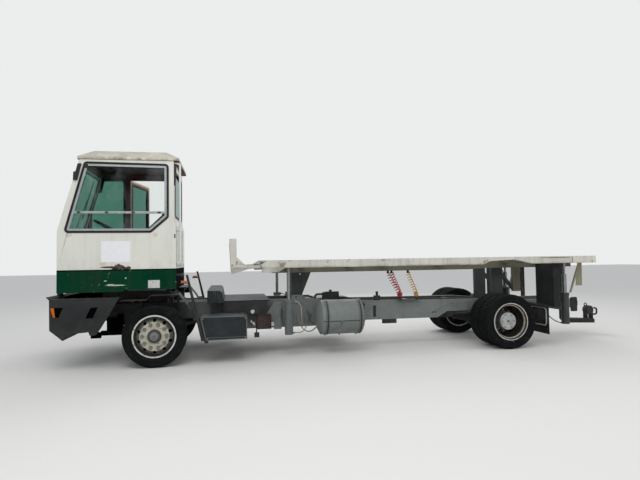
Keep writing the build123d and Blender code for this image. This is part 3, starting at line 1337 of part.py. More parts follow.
def build():
    nodes["chassis_rails"] = make_rails()
    nodes["cross_members"] = make_cross_members()
    nodes["front_bumper"] = make_bumper()
    nodes["bumper_cheeks"] = make_cheeks()
    nodes["headlamps"] = make_headlamps()
    nodes["marker_lamps"] = make_marker_lamps()
    nodes["cab_mounts"] = make_cab_mounts()
    nodes["front_axle"] = make_front_axle()
    nodes["leaf_springs"] = make_springs()
    nodes["engine"] = make_engine()
    nodes["rear_axle"] = make_rear_axle()
    nodes["mudguards"] = make_mudguards()
    nodes["step_boxes"] = make_step_boxes()
    nodes["decks"] = make_decks()
    nodes["side_boxes"] = make_side_boxes()
    nodes["air_tank"] = make_air_tank()
    nodes["fuel_tank"] = make_fuel_tank()
    nodes["side_brackets"] = make_side_brackets()
    nodes["lift_cylinders"] = make_cylinders()
    nodes["mud_flaps"] = make_flaps()
    nodes["flap_frames"] = make_flap_frames()
    nodes["tail_beam"] = make_tail_beam()
    nodes["tail_lamps"] = make_tail_lamps()
    nodes["coupling"] = make_coupling()
    nodes["hose_glands"] = make_hose_glands()
    nodes["oil_hoses"] = make_oil_hoses()

    nodes["cab_base"] = make_cab_base()
    nodes["cab_left"] = make_cab_left()
    nodes["cab_right"] = make_cab_right()
    nodes["cab_front"] = make_cab_front()
    nodes["cab_rear"] = make_cab_rear()
    nodes["cab_roof"] = make_roof()
    nodes["cab_windows"] = make_cab_windows()
    nodes["cab_interior"] = make_interior()
    nodes["handrails"] = make_handrails()
    nodes["mirror_brackets"] = make_mirror_brackets()
    door, glass = closed_door()
    nodes["right_door"] = [swung(door)]
    nodes["door_glass"] = [swung(glass)]

    nodes["lift_rails"] = make_lift_rails()
    nodes["lift_beams"] = make_main_beams()
    nodes["lift_cross"] = make_lift_cross()
    nodes["front_stops"] = make_stops()
    nodes["guide_columns"] = make_columns()
    nodes["cylinder_rods"] = make_rods()
    nodes["rear_panels"] = make_rear_panels()

    knuckle = make_knuckle()
    nodes["knuckle_left"] = [knuckle]
    nodes["knuckle_right"] = [right_of(knuckle)]
    nodes["tie_rod"] = [make_tie_rod()]
    one_tyre, one_rim, two_rims = tyre(), front_rim(), rear_rims()
    for side, left in (("left", True), ("right", False)):
        nodes[f"front_tyre_{side}"] = [place(one_tyre, 0, FRONT_WHEEL_Y, left)]
        nodes[f"front_rim_{side}"] = [place(one_rim, 0, FRONT_WHEEL_Y, left)]
        nodes[f"rear_tyres_{side}"] = [place(one_tyre, WHEELBASE, y, left) for y in (REAR_OUTER_Y, REAR_INNER_Y)]
        nodes[f"rear_rims_{side}"] = [place(two_rims, WHEELBASE, REAR_OUTER_Y, left)]
    for name, ends in HOSES.items():
        nodes[name] = [hose(*ends)]


MIDDLE = (BUMPER_LIP + COUPLING_END) / 2


if __name__ == "__main__":
    build()
    for name, solids in nodes.items():
        moved = [Pos(-MIDDLE, 0, 0) * solid for solid in solids]
        export_step(Compound(children=moved), f"parts/{name}.step")
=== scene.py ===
"""Looks of the terminal tractor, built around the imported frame.

Places are written in millimetres from the front axle, the centreline and the ground: x runs to the
rear, y to the vehicle's right and z up. at() turns them into the frame's metres.
"""

import json
import math

import bmesh
import bpy
from mathutils import Matrix, Vector

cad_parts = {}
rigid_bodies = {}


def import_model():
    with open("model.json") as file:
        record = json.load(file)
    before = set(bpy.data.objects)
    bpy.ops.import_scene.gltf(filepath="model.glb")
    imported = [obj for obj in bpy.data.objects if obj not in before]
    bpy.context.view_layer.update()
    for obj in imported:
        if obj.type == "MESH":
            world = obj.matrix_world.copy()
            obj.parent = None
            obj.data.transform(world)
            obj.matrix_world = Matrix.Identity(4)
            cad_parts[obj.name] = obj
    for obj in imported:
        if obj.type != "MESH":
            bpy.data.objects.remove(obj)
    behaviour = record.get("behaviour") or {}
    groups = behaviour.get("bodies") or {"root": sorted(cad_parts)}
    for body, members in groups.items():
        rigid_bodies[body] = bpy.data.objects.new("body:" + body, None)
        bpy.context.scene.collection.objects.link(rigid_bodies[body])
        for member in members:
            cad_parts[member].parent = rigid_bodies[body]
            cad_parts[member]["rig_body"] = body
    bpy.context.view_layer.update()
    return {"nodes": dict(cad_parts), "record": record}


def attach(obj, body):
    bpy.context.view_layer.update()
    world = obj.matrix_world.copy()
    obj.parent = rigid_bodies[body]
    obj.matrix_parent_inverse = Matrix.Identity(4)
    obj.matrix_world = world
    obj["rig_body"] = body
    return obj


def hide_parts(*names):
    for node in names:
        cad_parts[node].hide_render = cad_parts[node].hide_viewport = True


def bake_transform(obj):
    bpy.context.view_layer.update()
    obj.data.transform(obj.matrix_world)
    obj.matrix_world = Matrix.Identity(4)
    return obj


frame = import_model()
node = frame["nodes"]

# Driving places of the frame, in millimetres

MIDDLE = 3380              # from the front axle to the middle of the overall length
WHEELBASE = 5565
AXLE_Z = 443
TYRE_R = 443
TYRE_W = 285
WHEEL_Y = 1077.5           # middle of the front and of the outer rear wheels
DUAL_PITCH = 322
CAB_LEFT = -1170
CAB_RIGHT = 140
CAB_FRONT = -1295
CAB_KNEE_Z = 1950
CAB_TOP = 2968
CAB_TOP_FRONT = -1008
CAB_REAR = 300
CAB_REAR_UPPER = 272
BELT_Z = 1403
DOOR_OPEN = math.radians(78.5)
DOOR_HINGE = (-573, 160)
STRAP_X = (2552, 3080)     # middles of the air tank's pairs of straps
SIDES = {"left": -1, "right": 1}
GLASS_IOR = 1.1            # low, so that the pale surroundings don't veil the cab's inside
RIGHT_PILLAR_SLOPE = 0.2545    # how far the right window's front edge leans to the rear as it rises


def at(x, y, z):
    return Vector(((x - MIDDLE) / 1000, y / 1000, z / 1000))


# Camera, at the place and with the view that the photograph was taken from

FOCAL_PX = 488.0           # focal length in pixels of a picture 640 wide
YAW, PITCH, ROLL = (math.radians(a) for a in (10.67, -2.28, -0.84))
EYE = at(1041, -8486, 1503)


def make_camera():
    forward = Vector((math.sin(YAW) * math.cos(PITCH), math.cos(YAW) * math.cos(PITCH), -math.sin(PITCH)))
    level = Vector((math.cos(YAW), -math.sin(YAW), 0))
    upright = level.cross(forward)
    right = level * math.cos(ROLL) + upright * math.sin(ROLL)
    up = upright * math.cos(ROLL) - level * math.sin(ROLL)
    data = bpy.data.cameras.new("camera")
    data.sensor_width = 36
    data.lens = FOCAL_PX * data.sensor_width / 640
    data.clip_end = 200
    camera = bpy.data.objects.new("camera", data)
    turn = Matrix((right, up, -forward)).transposed().to_4x4()
    camera.matrix_world = Matrix.Translation(EYE) @ turn
    bpy.context.scene.collection.objects.link(camera)
    bpy.context.scene.camera = camera


make_camera()


# Colours are written as sRGB hex, and Finish.put() turns them

def rgb(code):
    """Linear values and full opacity."""
    parts = [int(code[i:i + 2], 16) / 255 for i in (0, 2, 4)]
    return tuple(c / 12.92 if c <= 0.04045 else ((c + 0.055) / 1.055) ** 2.4 for c in parts) + (1,)


GRIME = "3a342b"
DUST = "8d877a"


class Finish:
    """A node material in the making. Positions are the object's own, which is the frame's, in metres."""

    def __init__(self, name, metallic=0.0, specular=0.25):
        self.material = bpy.data.materials.new(name)
        self.material.use_nodes = True
        self.tree = self.material.node_tree
        self.tree.nodes.clear()
        self.shader = self.tree.nodes.new("ShaderNodeBsdfPrincipled")
        self.shader.inputs["Metallic"].default_value = metallic
        self.shader.inputs["Specular IOR Level"].default_value = specular
        out = self.tree.nodes.new("ShaderNodeOutputMaterial")
        self.tree.links.new(self.shader.outputs[0], out.inputs[0])
        coords = self.tree.nodes.new("ShaderNodeTexCoord")
        self.place, self.facing = coords.outputs["Object"], coords.outputs["Normal"]
        split = self.add("ShaderNodeSeparateXYZ", [self.place])
        self.x, self.y, self.z = split.outputs
        self.rearward, _, self.up = self.add("ShaderNodeSeparateXYZ", [self.facing]).outputs

    def put(self, socket, value):
        if isinstance(value, bpy.types.NodeSocket):
            self.tree.links.new(value, socket)
        else:
            socket.default_value = rgb(value) if isinstance(value, str) else value

    def add(self, kind, values=(), **settings):
        made = self.tree.nodes.new(kind)
        for key, value in settings.items():
            setattr(made, key, value)
        for socket, value in zip(made.inputs, values):
            if value is not None:
                self.put(socket, value)
        return made

    def math(self, operation, a, b=0.0):
        return self.add("ShaderNodeMath", [a, b], operation=operation).outputs[0]

    def times(self, a, b):
        return self.math("MULTIPLY", a, b)

    def plus(self, a, b):
        return self.math("ADD", a, b)

    def minus(self, a, b):
        return self.math("SUBTRACT", a, b)

    def vector(self, operation, a, b=None, output=0):
        return self.add("ShaderNodeVectorMath", [a, b], operation=operation).outputs[output]

    def ramp(self, value, low, high, to_low=0.0, to_high=1.0):
        return self.add("ShaderNodeMapRange", [value, low, high, to_low, to_high]).outputs[0]

    def past(self, start, end, *levels):
        """0 up to one x and 1 from another, in millimetres, or the two levels given."""
        return self.ramp(self.x, at(start, 0, 0).x, at(end, 0, 0).x, *levels)

    def mix(self, share, a, b, strength=None):
        if strength is not None:
            share = self.times(share, strength)
        made = self.add("ShaderNodeMix", data_type="RGBA")
        for index, value in ((0, share), (6, a), (7, b)):
            self.put(made.inputs[index], value)
        return made.outputs[2]

    def noise(self, scale, detail=3.0, stretch=(1, 1, 1), shift=0.0):
        move = (shift, shift * 0.7, shift * 1.3)
        moved = self.add("ShaderNodeMapping", [self.place, move, (0, 0, 0), stretch])
        return self.add("ShaderNodeTexNoise", [moved.outputs[0], None, scale, detail, 0.6]).outputs[0]

    def edges(self, width):
        """About 1 at the corners of the shape and 0 on its flats."""
        soft = self.add("ShaderNodeBevel", [width / 1000], samples=3).outputs[0]
        sharp = self.add("ShaderNodeNewGeometry").outputs["Normal"]
        return self.ramp(self.vector("DOT_PRODUCT", soft, sharp, "Value"), 0.995, 0.86)

    def blot(self, centre, size, ragged=0.5, scale=30, shift=0.0):
        """An uneven spot of a size in millimetres at a place."""
        away = self.vector("SUBTRACT", self.place, tuple(at(*centre)))
        unit = self.vector("DIVIDE", away, tuple(s / 1000 for s in size))
        length = self.vector("LENGTH", unit, output="Value")
        rough = self.times(self.minus(self.noise(scale, 4, shift=shift), 0.5), 4 * ragged)
        return self.ramp(self.plus(length, rough), 1.0, 0.85)

    def bump(self, height, distance, strength=1.0, normal=None):
        made = self.add("ShaderNodeBump", [strength, distance / 1000])
        self.put(made.inputs["Height"], height)
        if normal is not None:
            self.put(made.inputs["Normal"], normal)
        return made.outputs[0]

    def close(self, color, roughness, normal=None):
        self.put(self.shader.inputs["Base Color"], color)
        self.put(self.shader.inputs["Roughness"], roughness)
        if normal is not None:
            self.put(self.shader.inputs["Normal"], normal)
        return self.material


def weathered(name, color, under, edge, spots, streak, dust, mud, rough, extra=None, vary=0.12, worn=0.0,
              grime=GRIME, film=DUST, edge_width=6, specular=0.25):
    """Old paint: uneven colour, worn patches and edges, rust spots, streaks, dust on top and mud below."""
    f = Finish(name, specular=specular)
    tone = f.ramp(f.noise(1.7, 4), 0.3, 0.7, 1 - vary, 1 + vary)
    base = f.add("ShaderNodeVectorMath", [rgb(color)[:3], None], operation="SCALE")
    f.put(base.inputs["Scale"], tone)
    color_now = base.outputs[0]
    fine = f.noise(60, 5, shift=3)
    if extra:
        color_now = extra(f, color_now)
    if streak:
        lines = f.ramp(f.noise(14, 4, (1, 1, 0.07), 5), 0.5, 0.75)
        color_now = f.mix(lines, color_now, grime, streak)
    if worn:
        patch = f.ramp(f.noise(4.5, 6, shift=9), 0.62 - 0.1 * worn, 0.66 - 0.1 * worn)
        color_now = f.mix(patch, color_now, under, 0.85)
    if spots:
        dots = f.ramp(f.noise(22, 5, shift=13), 0.69 - 0.08 * spots, 0.72 - 0.08 * spots)
        color_now = f.mix(dots, color_now, under)
    if edge:
        patchy = f.ramp(f.noise(16, 5, shift=17), 0.62 - 0.3 * edge, 0.68 - 0.2 * edge)
        rim = f.times(f.edges(edge_width), patchy)
        color_now = f.mix(rim, color_now, under)
    if dust:
        top = f.times(f.ramp(f.up, 0.5, 0.95), f.ramp(fine, 0.3, 0.7, 0.5, 1.0))
        color_now = f.mix(top, color_now, film, dust)
        film_all = f.times(f.ramp(f.noise(3, 5, shift=21), 0.35, 0.8), 0.45 * dust)
        color_now = f.mix(film_all, color_now, film)
    if mud:
        low = f.times(f.ramp(f.z, 1.1, 0.25), f.ramp(f.noise(9, 5, shift=25), 0.42, 0.7))
        color_now = f.mix(low, color_now, "615a50", mud)
    roughness = f.ramp(fine, 0.3, 0.7, max(rough - 0.12, 0.05), min(rough + 0.15, 1))
    normal = f.bump(f.noise(220, 3, shift=2), 0.35, 0.35, f.bump(f.noise(7, 4, shift=7), 3, 0.3))
    return f.close(color_now, roughness, normal)


def radial(f, centre_x):
    """Distance from a wheel's axis, in metres."""
    dx = f.minus(f.x, (centre_x - MIDDLE) / 1000)
    dz = f.minus(f.z, AXLE_Z / 1000)
    return f.math("SQRT", f.plus(f.times(dx, dx), f.times(dz, dz)))


def rim_finish(name, centre_x, rings):
    """Rim paint in rings of (radius in millimetres, colour), old and rust-spotted."""
    f = Finish(name, 0.35)
    radius = radial(f, centre_x)
    wobble = f.times(f.minus(f.noise(40, 4), 0.5), 0.006)
    radius = f.plus(radius, wobble)
    color = rings[0][1]
    for limit, tint in rings[1:]:
        color = f.mix(f.ramp(radius, limit / 1000 - 0.002, limit / 1000 + 0.002), color, tint)
    color = f.mix(f.ramp(f.noise(26, 6, shift=4), 0.56, 0.68, 0, 0.75), color, "55402f")
    color = f.mix(f.ramp(f.noise(7, 4, shift=8), 0.45, 0.75, 0, 0.45), color, GRIME)
    normal = f.bump(f.noise(90, 4, shift=6), 0.8, 0.5)
    return f.close(color, f.ramp(f.noise(30, 3), 0.3, 0.7, 0.35, 0.65), normal)


def tyre_finish(name):
    f = Finish(name, specular=0.1)
    color = f.mix(f.ramp(f.noise(5, 5), 0.35, 0.75), "0d0f10", "171919")
    color = f.mix(f.ramp(f.noise(11, 6, shift=3), 0.55, 0.85, 0, 0.3), color, "4b4640")
    return f.close(color, f.ramp(f.noise(20, 3), 0.3, 0.7, 0.7, 0.95), f.bump(f.noise(160, 4), 0.6, 0.5))


def glass_finish(name, tint):
    """Thin glass with a gloss: nearly clear on the cab's left, tinted elsewhere."""
    f = Finish(name)
    f.shader.inputs["IOR"].default_value = GLASS_IOR
    f.put(f.shader.inputs["Transmission Weight"], f.ramp(f.noise(3.0, 5, (1, 1, 0.5)), 0.4, 0.75, 1.0, 0.93))
    beyond = f.ramp(f.y, (CAB_LEFT + 40) / 1000, (CAB_LEFT + 60) / 1000)
    return f.close(f.mix(beyond, "eef4f1", tint), 0.03)


def chequer(f, u, v, pitch):
    """Raised lozenges that lie alternately along each diagonal, 1 on a lozenge."""
    cu, cv = f.math("DIVIDE", u, pitch), f.math("DIVIDE", v, pitch)
    fu, fv = f.math("FLOOR", cu), f.math("FLOOR", cv)
    odd = f.math("MODULO", f.math("ABSOLUTE", f.plus(fu, fv)), 2.0)
    lu = f.minus(f.minus(cu, fu), 0.5)
    lv = f.minus(f.minus(cv, fv), 0.5)
    sign = f.minus(f.times(odd, 2.0), 1.0)
    along = f.plus(lu, f.times(lv, sign))
    across = f.minus(lu, f.times(lv, sign))
    length = f.plus(f.math("POWER", f.math("ABSOLUTE", f.times(along, 1.25)), 2.0),
                    f.math("POWER", f.math("ABSOLUTE", f.times(across, 4.2)), 2.0))
    return f.ramp(length, 0.5, 0.3)


def plate_finish(name, color, flat, worn_top):
    """Chequer plate. flat tells which two axes lie in the plate's face."""
    f = Finish(name, 0.2)
    axes = {"x": f.x, "y": f.y, "z": f.z}
    raised = chequer(f, axes[flat[0]], axes[flat[1]], 0.034)
    tone = f.mix(f.ramp(f.noise(3, 4), 0.3, 0.7), color, "272c2e")
    top = f.ramp(f.up, 0.5, 0.9)
    tone = f.mix(top, tone, "6c706e", worn_top)
    worn = f.times(raised, f.ramp(f.noise(14, 4, shift=2), 0.35, 0.7))
    color_now = f.mix(worn, tone, "74777a", 0.45)
    color_now = f.mix(f.ramp(f.noise(9, 5, shift=6), 0.5, 0.8, 0, 0.3), color_now, "5c554b")
    return f.close(color_now, 0.55, f.bump(raised, 2.2, 0.9))


def plain(name, color, rough, dirt, metallic=0, grain=120, extra=None, specular=0.25):
    """A small fitting: one colour with some dirt and a fine grain."""
    f = Finish(name, metallic, specular)
    if extra:
        color = extra(f, color)
    color_now = f.mix(f.ramp(f.noise(18, 5), 0.45, 0.75, 0, dirt), color, GRIME)
    color_now = f.mix(f.ramp(f.noise(4, 4, shift=4), 0.4, 0.8, 0, dirt * 0.6), color_now, DUST)
    return f.close(color_now, f.ramp(f.noise(25, 3), 0.3, 0.7, max(rough - 0.1, 0.03), min(rough + 0.1, 1)),
                   f.bump(f.noise(grain, 4), 0.4, 0.3))


# Where the white paint is chipped and stained, the green is scratched and the roof is grimy
# x, z, width, height, raggedness and grain of spots on the cab's left

CHIPS = [(-478, 1412, 104, 70, 0.3, 26), (-610, 1436, 120, 15, 0.25, 35), (-362, 1420, 50, 26, 0.3, 30)]
STAINS = [(-1140, 1895, 60, 30, 0.6, 16, 3), (20, 1890, 40, 40, 0.6, 16, 3), (-700, 1478, 45, 35, 0.6, 16, 3)]
SCRATCHES = [(-520, 1180, 140, 9, 0.25, 60), (-590, 1192, 60, 7, 0.3, 60), (-660, 1243, 22, 7, 0.3, 60),
             (-388, 1278, 10, 12, 0.2, 60)]


def spotted(f, color, spots, tint, strength=None):
    for x, z, width, height, *grain in spots:
        color = f.mix(f.blot((x, CAB_LEFT, z), (width, 60, height), *grain), color, tint, strength)
    return color


def white_damage(f, color):
    color = spotted(f, color, CHIPS, "260a0b")
    color = spotted(f, color, STAINS, "a58f63", 0.3)
    low = f.times(f.ramp(f.z, 1.62, 1.42), f.ramp(f.noise(10, 4, shift=31), 0.4, 0.7))
    return f.mix(low, color, "a39d8b", 0.25)


# Cab wall: the direction or place that tells its inner faces, from outside to inside
INNER_FACES = {
    "cab_left": ("y", CAB_LEFT + 4, CAB_LEFT + 10),
    "cab_right": ("y", CAB_RIGHT - 4, CAB_RIGHT - 10),
    "cab_front": ("rearward", 100, 500),
    "cab_rear": ("rearward", -100, -500),
}


def lined(wall):
    """The cab's white with dark inner faces, and a maroon doorway on the right."""
    axis, outside, inside = INNER_FACES[wall]
    maroon = "470c1c"

    def paint_over(f, color):
        inner = f.ramp(getattr(f, axis), outside / 1000, inside / 1000)
        cloth = "343c39"
        if wall == "cab_right":
            behind = f.minus(f.x, f.times(f.z, RIGHT_PILLAR_SLOPE))
            pillar = at(-1190, 0, 0).x - 2.33 * RIGHT_PILLAR_SLOPE
            cloth = f.mix(f.past(-640, -630), cloth, maroon)
            cloth = f.mix(f.ramp(behind, pillar, pillar - 0.005), cloth, maroon)
        elif wall == "cab_front":
            cloth = f.mix(f.ramp(f.y, 0.06, 0.065), cloth, maroon)
        return f.mix(inner, white_damage(f, color), cloth)

    return paint_over


def green_scratches_and_rear_shade(f, color):
    color = spotted(f, color, SCRATCHES, "b9b9a8")
    top = f.ramp(f.z, (BELT_Z - 24) / 1000, (BELT_Z - 14) / 1000)
    color = f.mix(top, color, "04100c", 0.9)
    # Painted shade: faces turned to the rear are darkened to 191d1c
    return f.mix(f.ramp(f.rearward, 0.5, 0.9), color, "191d1c")


def dark_back(f, color):
    """The bumper's rear face, out of the light."""
    return f.mix(f.ramp(f.rearward, 0.5, 0.9), color, "0e1010")


def roof_grime(f, color):
    side = f.ramp(f.up, 0.8, 0.3)
    low = f.times(side, f.ramp(f.z, (CAB_TOP + 60) / 1000, (CAB_TOP + 8) / 1000))
    patch = f.ramp(f.noise(9, 5, (1, 1, 0.5), 4), 0.38, 0.6)
    color = f.mix(f.times(low, patch), color, "6d543a", 0.8)
    moss = f.times(f.ramp(f.up, 0.4, 0.9), f.ramp(f.noise(5, 5, shift=9), 0.4, 0.65))
    color = f.mix(moss, color, "8a8676", 0.5)
    return f.mix(f.ramp(f.up, -0.4, -0.7), color, "3d1220")


def door_highlight_and_hinge_strip(f, color):
    """A painted sunlit highlight in ochre along the door's top, and an olive strip along its hinges."""
    away = f.vector("SUBTRACT", f.place, tuple(at(*DOOR_HINGE, 0)))
    along = (math.cos(DOOR_OPEN), math.sin(DOOR_OPEN), 0)
    reach = f.vector("DOT_PRODUCT", away, along, "Value")
    color = f.mix(f.ramp(reach, 0.024, 0.022), color, "7c6a2c")
    # Painted highlight: the sunlit ochre strip along the door's top
    return f.mix(f.ramp(f.z, 2.85, 2.852), color, "d9962f")


def tank_bands(f, color):
    """Darker strap pairs round the air tank."""
    on_left = f.ramp(f.y, -0.4, -0.42)
    for middle in STRAP_X:
        away = f.math("ABSOLUTE", f.minus(f.x, at(middle, 0, 0).x))
        color = f.mix(f.times(f.ramp(away, 0.028, 0.026), on_left), color, "5e6361")
        color = f.mix(f.times(f.ramp(away, 0.011, 0.009), on_left), color, "2c2e2d")
    return color


def darker_rear(f, color):
    return f.mix(f.past(4000, 4100), color, "363a3a")


# Painted shade: the chassis darkens to 181b1b ahead of x 900, fully ahead of x 250, where it lies under the
# cab
def shade_under_cab(f, color):
    return f.mix(f.past(250, 900, 1, 0), color, "181b1b")


def rail_stains(f, color):
    """Olive and rust along the rails' lower edges, a rust line and a paler box at the rear."""
    ragged = f.ramp(f.noise(7, 5, (0.5, 1, 1), 6), 0.35, 0.65)
    low = f.times(f.ramp(f.z, 1.415, 1.39), ragged)
    color = f.mix(low, color, "6b6350", 0.75)
    for centre, size in (((6400, -1215, 1478), (300, 40, 9)), ((6715, -1215, 1442), (9, 40, 50))):
        color = f.mix(f.blot(centre, size, 0.25, 40), color, "6a3a28", 0.8)
    box = f.past(6722, 6730)
    return f.mix(box, color, "d8d2c2", 0.5)


def olive_gusset(f, color):
    """The olive side of the front guide column's gusset and of the rear post."""
    front = f.times(f.past(2262, 2270), f.past(3000, 2990))
    post = f.past(6155, 6160)
    color = f.mix(front, color, "4e4a3c", 0.6)
    return f.mix(post, color, "77725f", 0.85)


def olive_struts(f, color):
    return f.mix(f.past(6780, 6790), color, "8a8670")


def pale_front(f, color):
    """The oil hoses are pale between the front lift cylinder and the air tank."""
    ahead = f.past(2330, 2240)
    return f.mix(f.times(ahead, f.ramp(f.noise(5, 3), 0.3, 0.5, 0.5, 1.0)), color, "9b978a")


def dark_bar(f, color):
    return f.mix(f.ramp(f.z, 0.648, 0.65), color, "232628")


# key: colour, what shows where it is worn, edge wear, rust spots, streaks, dust, mud, roughness, what is
# painted over it, other settings
WEATHERED = {
    "roof_white": ("cfcabb", "7b5a3a", 0, 0.25, 0.1, 0.35, 0, 0.6, roof_grime,
                   dict(vary=0.06, grime="6d5b42")),
    "cab_green": ("043523", "9aa396", 0.15, 0.03, 0.3, 0.06, 0.05, 0.4, green_scratches_and_rear_shade, dict(specular=0.0)),
    "door_maroon": ("560c18", "30100f", 0, 0, 0.1, 0.04, 0, 0.4, door_highlight_and_hinge_strip, {}),
    "bumper_steel": ("1e2223", "5c5e5c", 0.4, 0.05, 0.12, 0.15, 0.15, 0.6, dark_back, dict(vary=0.1)),
    "chassis_grey": ("767b79", "6a5240", 0.35, 0.12, 0.3, 0.3, 0.3, 0.55, shade_under_cab, {}),
    "tank_grey": ("707674", "6a5a4c", 0.1, 0.04, 0.2, 0.25, 0.25, 0.45, tank_bands, {}),
    "cylinder_grey": ("5f6564", "56493e", 0.2, 0.05, 0.35, 0.15, 0.15, 0.45, darker_rear, {}),
    "lift_grey": ("c3c1b7", "7c6a4e", 0.6, 0.3, 0.3, 0.35, 0, 0.7, rail_stains,
                  dict(worn=0.05, film="c9c5b8", edge_width=8)),
    # The lift beams' and cross members' dark olive is partly painted shade: they lie in shadow beneath the
    # pale lift rails
    "beam_olive": ("5c5a4c", "5a4632", 0.4, 0.3, 0.4, 0.2, 0, 0.7, None, {}),
    # column_grey: its dark grey is partly painted shade, for the shadow that the front guide column stands in
    "column_grey": ("383c3c", "5c5148", 0.5, 0.1, 0.3, 0.2, 0.1, 0.55, olive_gusset, {}),
    "black_steel": ("202223", "54483f", 0.25, 0.08, 0.1, 0.25, 0.2, 0.65, None, {}),
    "engine_grey": ("323335", "4a3a2e", 0, 0.3, 0.3, 0.35, 0.3, 0.7, None, {}),
    "panel_black": ("1a1d1d", "5d5344", 0.3, 0.05, 0.2, 0.15, 0.1, 0.75, olive_struts, {}),
    "flap_frame": ("8f9492", "4a4f50", 0.2, 0, 0.3, 0.2, 0.2, 0.5, dark_bar, {}),
}
WHITE = ("d6d5cb", "5a2a20", 0.25, 0, 0.12, 0.12, 0, 0.38)
WHITE_OTHERS = dict(vary=0.04, grime="8c8674", edge_width=5)
# key: colour, roughness, dirt, metallic, scale of the grain
PLAIN = {
    "flap_rubber": ("151718", 0.85, 0.3, 0, 60),
    "lamp_clear": ("c9ced2", 0.12, 0.1),
    "lamp_amber": ("c4601c", 0.2, 0.3),
    "lamp_red": ("8d1a16", 0.2, 0.3),
    "seat_dark": ("24272b", 0.85, 0.2, 0, 420),
    "rod_steel": ("9a9c9b", 0.25, 0.25, 0.8),
    "hose_red": ("b3182c", 0.35, 0.2),
    "hose_yellow": ("c9992a", 0.35, 0.25),
    "seal": ("141517", 0.6, 0.15),
    "aluminium": ("a9adab", 0.35, 0.2, 0.6),
    "blank_plate": ("e4e4e6", 0.35, 0.06),
    "trim_black": ("1d1f21", 0.55, 0.25),
    "bolt": ("8c8a84", 0.4, 0.4, 0.6),
    "rusty": ("5b4433", 0.8, 0.4, 0.2),
    "dash": ("1e2123", 0.7, 0.15, 0, 300),
    "oxide": ("411517", 0.7, 0.3),
    "silver": ("c9cbc9", 0.3, 0.2, 0.4),
    "worn_edge": ("62686a", 0.5, 0.3, 0.3),
    "cream_steel": ("aeaca2", 0.4, 0.5, 0.2),
}
# radius up to which the last colour runs, colour
FRONT_RINGS = [(0, "4a4b4a"), (98, "b9b5a4"), (206, "83827b"), (262, "3c3b38"), (284, "d5d4cc")]
REAR_RINGS = [(0, "b4b6b3"), (146, "2b2825"), (240, "3a342e"), (288, "c4c2b9")]


def make_finishes():
    made = {key: plain(key, *row) for key, row in PLAIN.items()}
    for key, (*row, others) in WEATHERED.items():
        made[key] = weathered(key, *row, **others)
    for key, extra in (("cab_white", white_damage), *((wall, lined(wall)) for wall in INNER_FACES)):
        made[key] = weathered(key + "_paint", *WHITE, extra, **WHITE_OTHERS)
    made["hose_black"] = plain("hose_black", "3d3d3a", 0.5, 0.4, extra=pale_front)
    made["shadow_black"] = plain("shadow_black", "060707", 0.8, 0, specular=0.0)
    made["glass"] = glass_finish("cab_glass", "508172")
    made["tyre"] = tyre_finish("tyre_rubber")
    made["step_plate"] = plate_finish("step_plate", "1c2022", "xz", 0.1)
    made["deck_plate"] = plate_finish("deck_plate", "1c2022", "xy", 0.5)
    made["front_rim"] = rim_finish("front_rim", 0, FRONT_RINGS)
    made["rear_rim"] = rim_finish("rear_rim", WHEELBASE, REAR_RINGS)
    return made


finish = make_finishes()


def paint(piece, key):
    piece.data.materials.clear()
    piece.data.materials.append(finish[key])


# The frame's own pieces: finishes by the record's slots, and softened edges

for row in frame["record"]["subparts"]:
    piece = node[row["node"]]
    paint(piece, row["material_slot"] if row["material_slot"] in finish else "black_steel")

OWN_FINISH = {
    "decks": "deck_plate", "cab_interior": "dash", "lift_cylinders": "cylinder_grey",
    "lift_beams": "beam_olive", "lift_cross": "beam_olive", "rear_panels": "panel_black",
    "flap_frames": "flap_frame", "tail_beam": "black_steel", "tail_lamps": "trim_black",
    **{wall: wall for wall in INNER_FACES},
    **{f"front_rim_{side}": "front_rim" for side in SIDES},
    **{f"rear_rims_{side}": "rear_rim" for side in SIDES},
}
for name, key in OWN_FINISH.items():
    paint(node[name], key)

# width in millimetres: nodes
EDGE_ROUNDING = {
    2: "decks mudguards rear_panels mirror_brackets",
    3: "bumper_cheeks lift_cross guide_columns chassis_rails tail_beam coupling side_brackets hose_glands "
       "cab_mounts tail_lamps rear_axle",
    4: "cab_left cab_right cab_front cab_rear front_bumper lift_rails lift_beams front_stops right_door",
    5: "cab_base step_boxes",
    8: "side_boxes cab_interior",
}


def soften(piece, width):
    weld = piece.modifiers.new("weld", "WELD")
    weld.merge_threshold = 0.00005
    bevel = piece.modifiers.new("bevel", "BEVEL")
    bevel.width = width / 1000
    bevel.segments = 2
    bevel.limit_method = "ANGLE"
    bevel.angle_limit = math.radians(40)
    bevel.harden_normals = True


for width, names in EDGE_ROUNDING.items():
    for name in names.split():
        soften(node[name], width)


# Mesh tools

def finish_piece(name, mesh, key, body, slot=None, smooth=35, rounding=0):
    """Links a mesh as a piece of the object that moves with a body."""
    made = bpy.data.objects.new(name, mesh)
    bpy.context.scene.collection.objects.link(made)
    mesh.materials.append(finish[key])
    mesh.polygons.foreach_set("use_smooth", [True] * len(mesh.polygons))
    mesh.set_sharp_from_angle(angle=math.radians(smooth))
    if rounding:
        soften(made, rounding)
    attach(made, body)
    return made


def piece_from(bm, name, key, body, **options):
    bmesh.ops.remove_doubles(bm, verts=bm.verts, dist=0.000002)
    bmesh.ops.recalc_face_normals(bm, faces=bm.faces)
    mesh = bpy.data.meshes.new(name)
    bm.to_mesh(mesh)
    bm.free()
    return finish_piece(name, mesh, key, body, **options)


def piece_of(name, key, body, add, rows, **options):
    """A piece of several shapes: add makes one from each row."""
    bm = bmesh.new()
    for row in rows:
        add(bm, *row)
    return piece_from(bm, name, key, body, **options)


